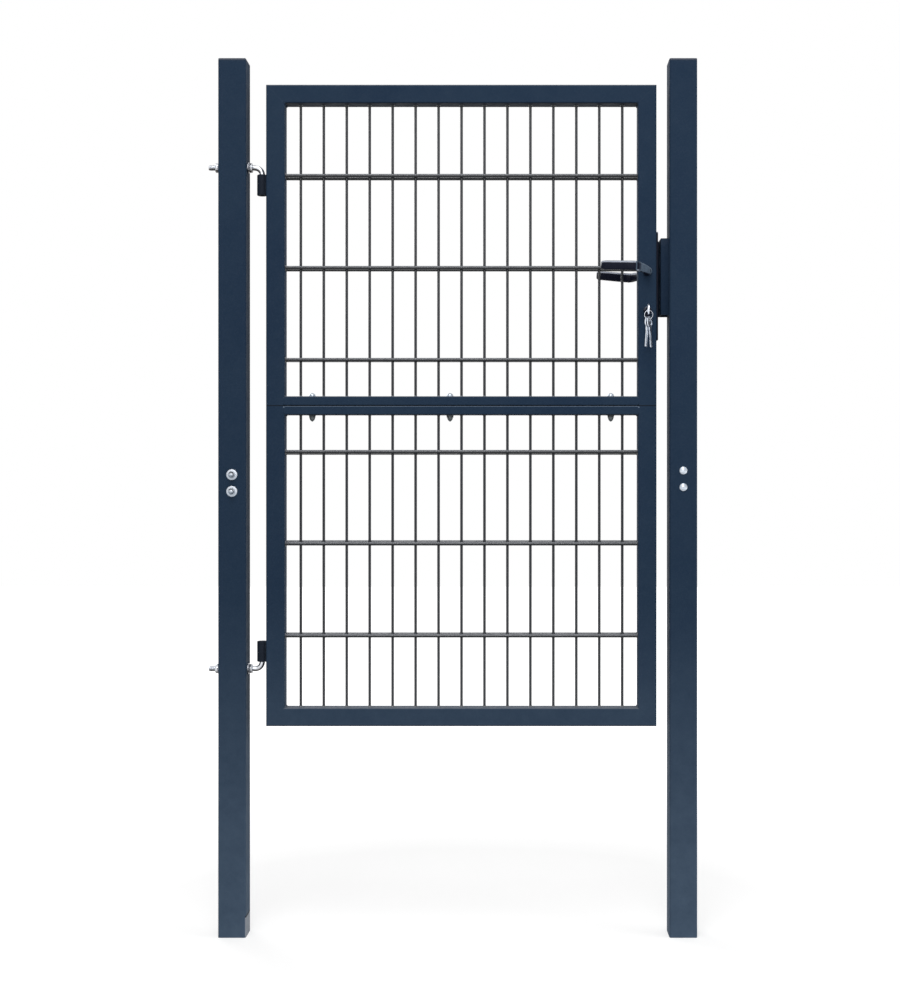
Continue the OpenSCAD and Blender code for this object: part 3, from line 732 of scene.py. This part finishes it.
def hook_nuts(place):
    """Washer and nut on each face of the post."""
    nut = moved(hexagon(rod_nut_across, rod_nut_h, chamfer_below=True), shift((0, 0, rod_washer_t)))
    combine(nut, new_bar("bore", (0, 0, 0), UP, rod_hole_d / 2, 20 * MM))
    soften(nut, 0.25 * MM, 1, 50)
    stack = join("stack", [nut, washer(2 * rod_d, rod_hole_d, rod_washer_t)])
    pieces = [copy_of(stack, facing((side * post_w / 2, 0, rod_z[place]), (side, 0, 0)) @ rotate(turn))
              for side, turn in ((1, 12), (-1, -5))]
    discard(stack)
    finish_piece(join(f"{place}_hook_nuts", pieces), "posts", "zinc", hook_zinc, f"{place}_hinge_nuts")


def weld_bead(start, end, radius):
    """A run of overlapping ripples from start to end."""
    start, end = Vector(start), Vector(end)
    way = end - start
    ripple_step, lean = 0.7 * radius, 0.25 * radius
    count = max(2, round(way.length / ripple_step))
    clear_selection()
    bpy.ops.mesh.primitive_uv_sphere_add(
        segments=10, ring_count=6, radius=radius, rotation=way.to_track_quat("Z", "Y").to_euler())
    ripple = place_in_mesh("weld_bead")
    edit(ripple)
    along = way.normalized()
    pick(ripple, "VERT", lambda v: v.co.dot(along) > 0)
    bpy.ops.transform.translate(value=-along * lean)
    take_all()
    bpy.ops.transform.translate(value=start)
    leave_edit()
    return repeat(ripple, count, way / (count - 1))


def barrel(place):
    """Hinge barrel with turned ends and a weld bead down each side."""
    node = f"{place}_hinge_barrel"
    low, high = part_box(node)
    outer_r, bore_r, length = (high.y - low.y) / 2, rod_hole_d / 2, high.z - low.z
    edge, mouth = 1.1 * MM, 0.9 * MM
    centre_x = low.x + outer_r
    tube = turned("tube", [
        (bore_r, mouth), (bore_r + mouth, 0), (outer_r - edge, 0), (outer_r, edge),
        (outer_r, length - edge), (outer_r - edge, length), (bore_r + mouth, length),
        (bore_r, length - mouth), (bore_r, mouth)])
    moved(tube, shift((centre_x, 0, low.z)))
    bead_r, inset, x, y = 2.7 * MM, 3 * MM, leaf_x0 - 1.8 * MM, 5.6 * MM
    beads = [weld_bead((x, side * y, low.z + inset), (x, side * y, high.z - inset), bead_r)
             for side in (-1, 1)]
    finish_piece(join(f"{place}_barrel", [tube] + beads), "leaf", "coat", barrel_coat, node)


# ---- Wire mats ----

def mat(name, node, rows_up, slips):
    """Upright wires between twin cross wires, with weld nuggets at the crossings and collars at the frame.

    The back wire of each row, from the lowest row up, is welded a slip above its front wire.
    """
    low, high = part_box(node)
    cross_y = high.y - cross_d / 2
    count = math.floor((inner_x1 - inner_x0) / upright_pitch)
    first_x = (inner_x0 + inner_x1) / 2 - (count - 1) * upright_pitch / 2
    heights = sorted(seam_z + rows_up * (first_row + row * row_pitch) for row in range(3))
    pitch_step = (upright_pitch, 0, 0)
    wires_at = [(side, z + (slip if side > 0 else 0)) for z, slip in zip(heights, slips) for side in (-1, 1)]

    upright = new_bar("upright", (first_x, 0, low.z), UP, upright_d / 2, high.z - low.z, 20)
    repeat(upright, count, pitch_step)
    wires = [new_bar("cross", (inner_x0, side * cross_y, z), ALONG, cross_d / 2, inner_x1 - inner_x0, 20)
             for side, z in wires_at]

    clear_selection()
    bpy.ops.mesh.primitive_uv_sphere_add(segments=12, ring_count=6, radius=upright_d / 2)
    nugget = place_in_mesh("nugget")
    edit(nugget)
    take_all()
    bpy.ops.transform.resize(value=(1.3, 0.55, 1.45), center_override=(0, 0, 0))
    leave_edit()
    nuggets = [repeat(copy_of(nugget, shift((first_x, side * upright_d / 2, z))), count, pitch_step)
               for side, z in wires_at]
    discard(nugget)

    def collar(radius):
        return turned("collar", [
            (0, 0), (radius + 1.7 * MM, 0), (radius + 1.3 * MM, 0.9 * MM), (radius + 0.4 * MM, 1.5 * MM),
            (radius - 0.1 * MM, 2.6 * MM), (0, 2.6 * MM)], 16)

    collars = []
    for z, way in ((low.z, 1), (high.z, -1)):
        ring = moved(collar(upright_d / 2), facing((first_x, 0, z), (0, 0, way)))
        collars.append(repeat(ring, count, pitch_step))
    for x, way in ((inner_x0, 1), (inner_x1, -1)):
        for side, z in wires_at:
            collars.append(moved(collar(cross_d / 2), facing((x, side * cross_y, z), (way, 0, 0))))
    whole = join(name, [upright] + wires + nuggets + collars)
    finish_piece(whole, "leaf", "wire_coat", wire_coat, node)


# ---- Frame welds ----

def frame_welds():
    """Fillet beads in the inner corners, and ground welds that fill the grooves at the mid rails' ends."""
    reach = frame_y - 2.5 * MM
    sit, corner, flush, depth, bead_r = 0.2 * MM, 3.7 * MM, 0.03 * MM, 2.2 * MM, 1.5 * MM
    welds = []
    corners = [(leaf_z1, -1, mid_high.z, 1), (leaf_z0, 1, 2 * seam_z - mid_high.z, -1)]
    for outer_z, to_seam, mid_z, from_seam in corners:
        rail_z = outer_z + to_seam * frame_w
        for inner_x, way in ((inner_x0, 1), (inner_x1, -1)):
            for z, side in ((rail_z, to_seam), (mid_z, from_seam)):
                x = inner_x + way * sit
                welds.append(weld_bead((x, -reach, z + side * sit), (x, reach, z + side * sit), bead_r))
            for face in (-1, 1):
                ends_x = sorted((inner_x - way * corner, inner_x + way * 0.3 * MM))
                ends_y = sorted((face * (frame_y - corner), face * (frame_y - flush)))
                ends_z = sorted((mid_z - from_seam * depth, seam_z + from_seam * depth))
                fill = new_block("ground_weld", *zip(ends_x, ends_y, ends_z))
                bevel_edges(fill, 0.8 * MM, 2, lambda e: runs_along(e, ALONG))
                welds.append(fill)
    finish_piece(join("frame_weld_beads", welds), "leaf", "coat", coat)


# ---- Keep ----

def cut_for_bolts(piece, from_x, to_x, gap, rounding, segments):
    """Cuts openings for the latch bolt and the dead bolt, with a gap round them."""
    for node in ("latch_bolt", "dead_bolt"):
        low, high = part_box(node)
        tool = new_block("opening", (from_x, low.y - gap, low.z - gap), (to_x, high.y + gap, high.z + gap))
        bevel_edges(tool, rounding, segments, lambda e: runs_along(e, ALONG))
        combine(piece, tool)


def folded_keep():
    """Sheet folded round the keep's corners, with rounded windows and a stop behind the leaf."""
    wall, swing_gap = 3 * MM, 5 * MM
    face_x = forend_high.x + swing_gap
    low, high = keep_low, keep_high
    section = [
        (high.x, low.y), (face_x, low.y), (face_x, high.y - wall), (low.x, high.y - wall),
        (low.x, high.y), (high.x, high.y), (high.x, high.y - wall), (face_x + wall, high.y - wall),
        (face_x + wall, low.y + wall), (high.x, low.y + wall)]
    sheet = outline("folded_keep", [(x, y, low.z) for x, y in section])
    bpy.ops.mesh.edge_face_add()
    extrude((0, 0, high.z - low.z))
    close_shape()

    def fold_at(x, y):
        return lambda e: runs_along(e, UP) and (middle(e).xy - Vector((x, y))).length < 0.1 * MM

    bevel_edges(sheet, 2.2 * MM, 5, fold_at(face_x, low.y))
    bevel_edges(sheet, 1.2 * MM, 3, fold_at(face_x + wall, low.y + wall))
    bevel_edges(sheet, 1.4 * MM, 3, fold_at(low.x, high.y))
    cut_for_bolts(sheet, face_x - 5 * MM, face_x + 2 * wall, 3 * MM, 2.5 * MM, 4)
    soften(sheet, 0.4 * MM, 2, 50)
    finish_piece(sheet, "posts", "coat", keep_coat, "keep")


# ---- Lock ----

def lock_front():
    """Forend strip, its screws and the noses of both bolts, drawn back level with the strip."""
    strip = new_block("forend_strip", forend_low, forend_high)
    bevel_edges(strip, 3 * MM, 5, lambda e: runs_along(e, ALONG))
    past, gap, rounding = 5 * MM, 0.4 * MM, 1.2 * MM
    cut_for_bolts(strip, forend_low.x - past, forend_high.x + past, gap, rounding, 3)
    screw_low, screw_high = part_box("forend_screws")
    head_r = (screw_high.y - screw_low.y) / 2
    places = [screw_low.z + head_r, screw_high.z - head_r]
    for z in places:
        combine(strip, new_bar("sink", (forend_low.x - MM, 0, z), ALONG, head_r + 0.1 * MM, 8 * MM))
    soften(strip, 0.5 * MM, 2, 50)
    finish_piece(strip, "leaf", "black_coat", black_coat, "lock_forend")

    thick, screw_r = forend_high.x - forend_low.x, 1.9 * MM
    tip = -thick - 3.4 * MM
    head = turned("screw", [
        (0, tip), (1.6 * MM, tip), (screw_r, -thick - 3 * MM), (screw_r, 0.5 * MM - thick),
        (head_r - 0.5 * MM, -0.9 * MM), (head_r, -0.5 * MM), (head_r, -0.25 * MM),
        (head_r - 0.5 * MM, 0), (0, 0)])
    for turn in (0, 90):
        arm = new_block("recess", (-2.4 * MM, -0.55 * MM, -1.6 * MM), (2.4 * MM, 0.55 * MM, MM))
        combine(head, moved(arm, rotate(turn)))
    screws = [copy_of(head, facing((forend_high.x, 0, z), ALONG) @ rotate(turn))
              for z, turn in zip(places, (21, -34))]
    discard(head)
    finish_piece(join("forend_screw_pair", screws), "leaf", "zinc", zinc, "forend_screws")

    nose = 3.5 * MM
    latch = new_block("latch_nose", *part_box("latch_bolt"))
    bevel_edges(latch, nose, 5, lambda e: runs_along(e, UP) and middle(e).x > forend_low.x)
    soften(latch, 0.5 * MM, 2, 50)
    finish_piece(latch, "leaf", "nickel", nickel, "latch_bolt")
    low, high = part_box("dead_bolt")
    dead = new_block("dead_bolt_block", low, high)
    bevel_edges(dead, 1.2 * MM, 3, lambda e: middle(e).x > high.x - 0.1 * MM)
    for z in (low.z + (high.z - low.z) / 3, low.z + (high.z - low.z) * 2 / 3):
        combine(dead, new_block("line", (low.x - MM, low.y - MM, z - 0.3 * MM),
                                (high.x + MM, low.y + 0.5 * MM, z + 0.3 * MM)))
    soften(dead, 0.3 * MM, 1, 50)
    finish_piece(dead, "leaf", "nickel", nickel, "dead_bolt")


def key_cylinder():
    """Pear-shaped cylinder, bored at the front for its plug, with the plug's face and keyway at the back."""
    plug_r, leg_r, play = (plug_high.x - plug_low.x) / 2, 5 * MM, 0.1 * MM
    front_y, back_y = cylinder_low.y, cylinder_high.y
    half, leg_z = (back_y - front_y) / 2, cylinder_low.z + leg_r
    body = new_bar("pear_cylinder", (lock_x, -half, cylinder_z), BACK,
                   (cylinder_high.x - cylinder_low.x) / 2, 2 * half, 64)
    combine(body, new_bar("leg_end", (lock_x, -half, leg_z), BACK, leg_r, 2 * half), "UNION")
    combine(body, new_block("leg", (lock_x - leg_r, -half, leg_z), (lock_x + leg_r, half, cylinder_z)),
            "UNION")
    soften(body, 0.5 * MM, 2, 60)
    combine(body, new_bar("bore", (lock_x, front_y - MM, cylinder_z), BACK, plug_r + play,
                          plug_high.y - front_y + 1.1 * MM))
    ring = new_bar("groove", (lock_x, back_y - 0.6 * MM, cylinder_z), BACK, plug_r + play, 2 * MM)
    combine(ring, new_bar("core", (lock_x, back_y - 2 * MM, cylinder_z), BACK, plug_r - 0.35 * MM, 5 * MM))
    combine(body, ring)
    slot_x, slot_z = key_t / 2 + play, blade_h / 2 + play
    combine(body, new_block("keyway", (lock_x - slot_x, back_y - 10 * MM, cylinder_z - slot_z),
                            (lock_x + slot_x, back_y + MM, cylinder_z + slot_z)))
    finish_piece(body, "leaf", "black_coat", black_coat, "lock_cylinder")

    length, chamfer = plug_high.y - plug_low.y, 0.4 * MM
    plug = turned("key_plug", [
        (0, 0), (plug_r, 0), (plug_r, length - chamfer), (plug_r - chamfer, length), (0, length)])
    moved(plug, facing((lock_x, plug_high.y, cylinder_z), FRONT))
    combine(plug, new_block("slot", (lock_x - slot_x, plug_low.y - MM, cylinder_z - slot_z),
                            (lock_x + slot_x, plug_high.y - MM, cylinder_z + slot_z)))
    soften(plug, 0.15 * MM, 1, 60)
    finish_piece(plug, "key", "black_coat", black_coat, "cylinder_plug")


# ---- Keys ----

def key(name, blade, cuts):
    """Key in the XZ plane that hangs from the middle of its hole: bow with a raised rim, neck, blade with
    milled grooves and cuts in one edge, and a round tip."""
    bow_z = hole_in - bow_d / 2
    shoulder_z = bow_z - bow_d / 2 - key_neck
    tip_z = shoulder_z - blade
    half_t, half_h = key_t / 2, blade_h / 2
    shoulder_out, notch_r = 1.2 * MM, 2.4 * MM

    bow = new_bar(name, (0, -half_t, bow_z), BACK, bow_d / 2, key_t, 64)
    shoulder = new_block("shoulder", (-half_h - shoulder_out, -half_t, shoulder_z),
                         (half_h + shoulder_out, half_t, bow_z - bow_d / 2 + 2.5 * MM))
    bevel_edges(shoulder, shoulder_out, 3, lambda e: runs_along(e, BACK))
    combine(bow, shoulder, "UNION")
    stem = new_block("stem", (-half_h, -half_t * 0.92, tip_z), (half_h, half_t * 0.92, shoulder_z + 2 * MM))
    bevel_edges(stem, 3.2 * MM, 5, lambda e: runs_along(e, BACK) and middle(e).z < tip_z + 0.1 * MM)
    combine(bow, stem, "UNION")
    combine(bow, new_bar("hole", (0, -5 * MM, 0), BACK, key_hole_d / 2, 10 * MM))
    for side in (-1, 1):
        dish_r, dish_t = bow_d / 2 - 2.4 * MM, 0.4 * MM
        dish = new_bar("dish", (0, side * (half_t - dish_t), bow_z - 1.6 * MM), (0, side, 0),
                       dish_r - 1.2 * MM, 2 * MM)
        combine(dish, new_bar("eyelet", (0, side * (half_t - 2 * dish_t), 0), (0, side, 0),
                              key_hole_d / 2 + 1.4 * MM, 5 * MM))
        combine(bow, dish)
        groove_x, groove_half = side * 1.1 * MM, 0.55 * MM
        low_y, high_y = sorted((side * half_t * 0.55, side * half_t * 2))
        combine(bow, new_block("groove", (groove_x - groove_half, low_y, tip_z - MM),
                               (groove_x + groove_half, high_y, shoulder_z - 1.5 * MM)))
    spacing = (blade - 10 * MM) / max(1, len(cuts))
    for i, depth in enumerate(cuts):
        z = shoulder_z - 5 * MM - (i + 0.5) * spacing
        combine(bow, new_bar("notch", (half_h + notch_r - depth, -5 * MM, z), BACK, notch_r, 10 * MM, 4))
    soften(bow, 0.22 * MM, 1, 50)
    return bow


def keys_and_ring():
    cuts = [depth * MM for depth in (0.7, 1.1, 0.5, 0.9, 1.2, 0.7)]
    ring_centre = (ring_low + ring_high) / 2
    ring_r = (ring_high.x - ring_low.x) / 2 - ring_wire / 2
    hole_y = ring_centre.y

    in_lock_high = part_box("key_in_lock")[1]
    hole_to_shoulder = bow_d + key_neck - hole_in
    in_lock = key("turned_key", in_lock_high.y - hole_y - hole_to_shoulder, [])
    moved(in_lock, shift((lock_x, hole_y, cylinder_z)) @ rotate(90, "X") @ rotate(90))
    finish_piece(in_lock, "key", "nickel", nickel, "key_in_lock")

    hang_angle, lean, face_turn = math.radians(13), 8.5, 60
    hang = key_hole_d / 2 - ring_wire / 2 - 1.1 * MM
    spare = key("spare_key", blade_len, cuts)
    for side, hand in ((-1, "left"), (1, "right")):
        at = Vector((lock_x + side * ring_r * math.sin(hang_angle), hole_y,
                     ring_centre.z - ring_r * math.cos(hang_angle) - hang))
        turned_at = shift(at) @ rotate(face_turn) @ rotate(-side * lean, "Y")
        twin = copy_of(spare, turned_at, f"{hand}_spare_key")
        finish_piece(twin, "loose_keys", "nickel", nickel, f"loose_key_{hand}")
    discard(spare)

    wire_r = 0.45 * MM
    clear_selection()
    bpy.ops.mesh.primitive_circle_add(vertices=12, radius=wire_r, fill_type="NGON",
                                      location=(ring_r, 0, 0), rotation=(math.pi / 2, 0, 0))
    coil = place_in_mesh("split_ring")
    wind(coil, 2 * wire_r, 2, 40)
    moved(coil, shift(ring_centre) @ rotate(90, "X") @ rotate(180) @ shift((0, 0, -2 * wire_r)))
    finish_piece(coil, "key", "nickel", nickel, "key_ring")


# ---- Levers ----

def lever():
    """Front lever: turned boss, neck that slants out to the bend, and a flat arm that narrows to its tip."""
    arm_t, rises = 11 * MM, 3
    face_y, bend_y = -frame_y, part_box("front_lever")[0].y + arm_t / 2
    boss_r, boss_len, gap, spigot_r, sunk = 9.5 * MM, 12 * MM, 0.6 * MM, 6.9 * MM, -6 * MM

    boss = turned("boss", [
        (0, sunk), (spigot_r, sunk), (spigot_r, gap), (boss_r - 0.8 * MM, gap),
        (boss_r, gap + 0.8 * MM), (boss_r, boss_len * 0.6), (boss_r - 1.5 * MM, boss_len + 2 * MM),
        (boss_r - 3 * MM, boss_len + 4 * MM), (0, boss_len + 4 * MM)])
    moved(boss, facing((lock_x, face_y, spindle_z), FRONT))

    at_boss, at_bend = (lock_x, face_y), (lock_x - 25 * MM, bend_y)
    at_tip = (lock_x - 104 * MM, bend_y + 18 * MM)
    # (measured from, along X and Y, direction it faces, thickness, height), in millimetres
    sections = [
        (at_boss, 0, -6, (0, -1), 13, 15.5),
        (at_boss, -0.8, -15, (-0.12, -1), 13, 16),
        (at_boss, -5, -29, (-0.35, -1), 12, 16.6),
        (at_boss, -12, -46, (-0.42, -1), 11.4, 18),
        (at_bend, 5, 19, (-0.45, -1), 11, 19.2),
        (at_bend, 1.2, 8.5, (-0.62, -1), 11, 20),
        (at_bend, -4, 2.2, (-1, -0.45), 11, 20),
        (at_bend, -14, 2.4, (-1, 0.12), 11, 20),
        (at_bend, -32, 6.6, (-1, 0.25), 10.8, 20),
        (at_bend, -52, 11.8, (-1, 0.27), 10.4, 19.6),
        (at_tip, 9, -2.6, (-1, 0.28), 10, 19),
        (at_tip, 2.2, -0.8, (-1, 0.3), 8.6, 17.6),
        (at_tip, 0.2, -0.2, (-1, 0.3), 5, 14)]
    path = [((at[0] + x * MM, at[1] + y * MM), math.atan2(way[0], -way[1]), thick * MM, tall * MM)
            for at, x, y, way, thick, tall in sections]
    (x0, y0), _, t0, h0 = path[0]
    arm = new_block("lever_in_front", (x0 - t0 / 2, y0, spindle_z - h0 / 2),
                    (x0 + t0 / 2, y0 + 2 * MM, spindle_z + h0 / 2))
    bevel_edges(arm, 3.6 * MM, 3, lambda e: runs_along(e, FRONT))
    edit(arm)
    pick(arm, "FACE", lambda f: f.normal.y < -0.99)
    for ((xa, ya), heading, ta, ha), ((xb, yb), new_heading, tb, hb) in zip(path, path[1:]):
        extrude((xb - xa, yb - ya, 0))
        turn_section(arm, (xb, yb, spindle_z), heading, new_heading, tb / ta, hb / ha)
    close_shape()
    soften(arm, 0.6 * MM, 2, 40)
    combine(arm, boss, "UNION")
    spindle = shift((lock_x, 0, spindle_z))
    return moved(arm, spindle @ rotate(rises, "Y") @ spindle.inverted())


def turn_section(piece, at, heading, new_heading, thinner, taller):
    """Resizes the selected section across its own width and its height, and turns it about the upright."""
    at = Vector(at)
    resize = (Matrix.Rotation(-new_heading, 4, "Z") @ Matrix.Diagonal((thinner, 1, taller, 1))
              @ Matrix.Rotation(heading, 4, "Z"))
    shape = bmesh.from_edit_mesh(piece.data)
    for vertex in shape.verts:
        if vertex.select:
            vertex.co = at + resize.to_3x3() @ (vertex.co - at)
    bmesh.update_edit_mesh(piece.data)


def both_levers():
    front = lever()
    back = copy_of(front, Matrix.Scale(-1, 4, FRONT), "lever_behind")
    finish_piece(front, "levers", "black_coat", lever_coat, "front_lever")
    finish_piece(back, "levers", "black_coat", lever_coat, "back_lever")


# ---- Make everything ----

for post in ("hinge_post", "latch_post"):
    post_cap(post)
post_bolt_pair("hinge_post", 0, 1, nut_zinc)
post_bolt_pair("latch_post", latch_post_x, -1, zinc)
rail_fasteners()
for part in (hook, hook_nuts, barrel):
    for place in ("upper", "lower"):
        part(place)
mat("upper_mat_wires", "mat_upper", 1, (-0.4 * MM, -2.4 * MM, -3.6 * MM))
mat("lower_mat_wires", "mat_lower", -1, (2.2 * MM, 3.2 * MM, -2.4 * MM))
frame_welds()
folded_keep()
lock_front()
key_cylinder()
keys_and_ring()
both_levers()

for finish, nodes in (
        (coat, ("hinge_stile_upper", "lock_stile_upper", "top_rail", "mid_rail_upper",
                "hinge_stile_lower", "lock_stile_lower", "bottom_rail", "mid_rail_lower")),
        (post_coat, ("hinge_post", "latch_post")),
        (zinc, ("lock_case", "lever_spindle"))):
    for node in nodes:
        coat_with(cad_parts[node], finish)


# ---- Studio ----

def seen_directly(owner):
    """1 for what the camera, a reflection or glass shows, and 0 for light on the gate."""
    path = add_node(owner, "LightPath")
    seen = path.outputs["Is Camera Ray"]
    for ray in ("Is Glossy Ray", "Is Transmission Ray"):
        seen = add_node(owner, "Math", {0: seen, 1: path.outputs[ray]}, operation="MAXIMUM").outputs[0]
    return seen


def studio_floor():
    """Pale floor that shows white where no shadow falls on it."""
    clear_selection()
    bpy.ops.mesh.primitive_plane_add(size=24, location=(0.5, 0, 0))
    floor = place_in_mesh("floor")
    pale = Finish("pale_floor", Roughness=0.9, Specular_IOR_Level=0.1,
                  Base_Color=(0.42, 0.42, 0.42, 1), Emission_Color=(1, 1, 1, 1))
    from_gate = pale.node("VectorMath", {0: pale.place, 1: (latch_post_x / 2, 0, 0)},
                          operation="DISTANCE").outputs["Value"]
    glow = pale.times(seen_directly(pale.material), pale.spread(from_gate, 0.8, 2.4, 0.55, 1.0))
    pale.link(glow, "Emission Strength")
    floor.data.materials.append(pale.material)


def studio_world():
    """White to the camera and in reflections, softer as light."""
    world = bpy.data.worlds.new("studio")
    bpy.context.scene.world = world
    world.use_nodes = True
    background = world.node_tree.nodes["Background"]
    background.inputs["Color"].default_value = (1, 1, 1, 1)
    strength = add_node(world, "MapRange", {"Value": seen_directly(world), "To Min": 0.55, "To Max": 1.0})
    world.node_tree.links.new(strength.outputs["Result"], background.inputs["Strength"])


def soft_lamp(name, place, aim, size, watts, mirrored=True):
    """A round soft lamp; one that isn't mirrored stays out of the plated metal's reflections."""
    lamp = bpy.data.lights.new(name, "AREA")
    lamp.shape = "DISK"
    lamp.size = size
    lamp.energy = watts
    holder = bpy.data.objects.new(name, lamp)
    holder.visible_glossy = mirrored
    bpy.context.scene.collection.objects.link(holder)
    holder.location = place
    holder.rotation_euler = (Vector(aim) - Vector(place)).to_track_quat("-Z", "Y").to_euler()


def studio_camera():
    """Level camera in front of the gate, a little right of its middle."""
    camera = bpy.data.objects.new("camera", bpy.data.cameras.new("camera"))
    bpy.context.scene.collection.objects.link(camera)
    camera.location = (0.5897, -3.379, 0.969)
    camera.rotation_euler = (math.pi / 2, 0, 0)
    camera.data.lens = 55.85
    camera.data.shift_x = -0.055
    camera.data.shift_y = -0.011
    bpy.context.scene.camera = camera


studio_floor()
studio_world()
gate_middle = (latch_post_x / 2, 0, 1.0)
soft_lamp("overhead", (0.2, -3.0, 5.5), gate_middle, 3.0, 150)
soft_lamp("front", (0.4, -4.8, 2.7), gate_middle, 2.2, 58)
soft_lamp("right_side", (4.2, -1.0, 1.5), gate_middle, 3.0, 60, mirrored=False)
soft_lamp("behind", (-2.6, 4.2, 3.2), gate_middle, 2.6, 75)
studio_camera()
bpy.context.scene.view_settings.view_transform = "Standard"
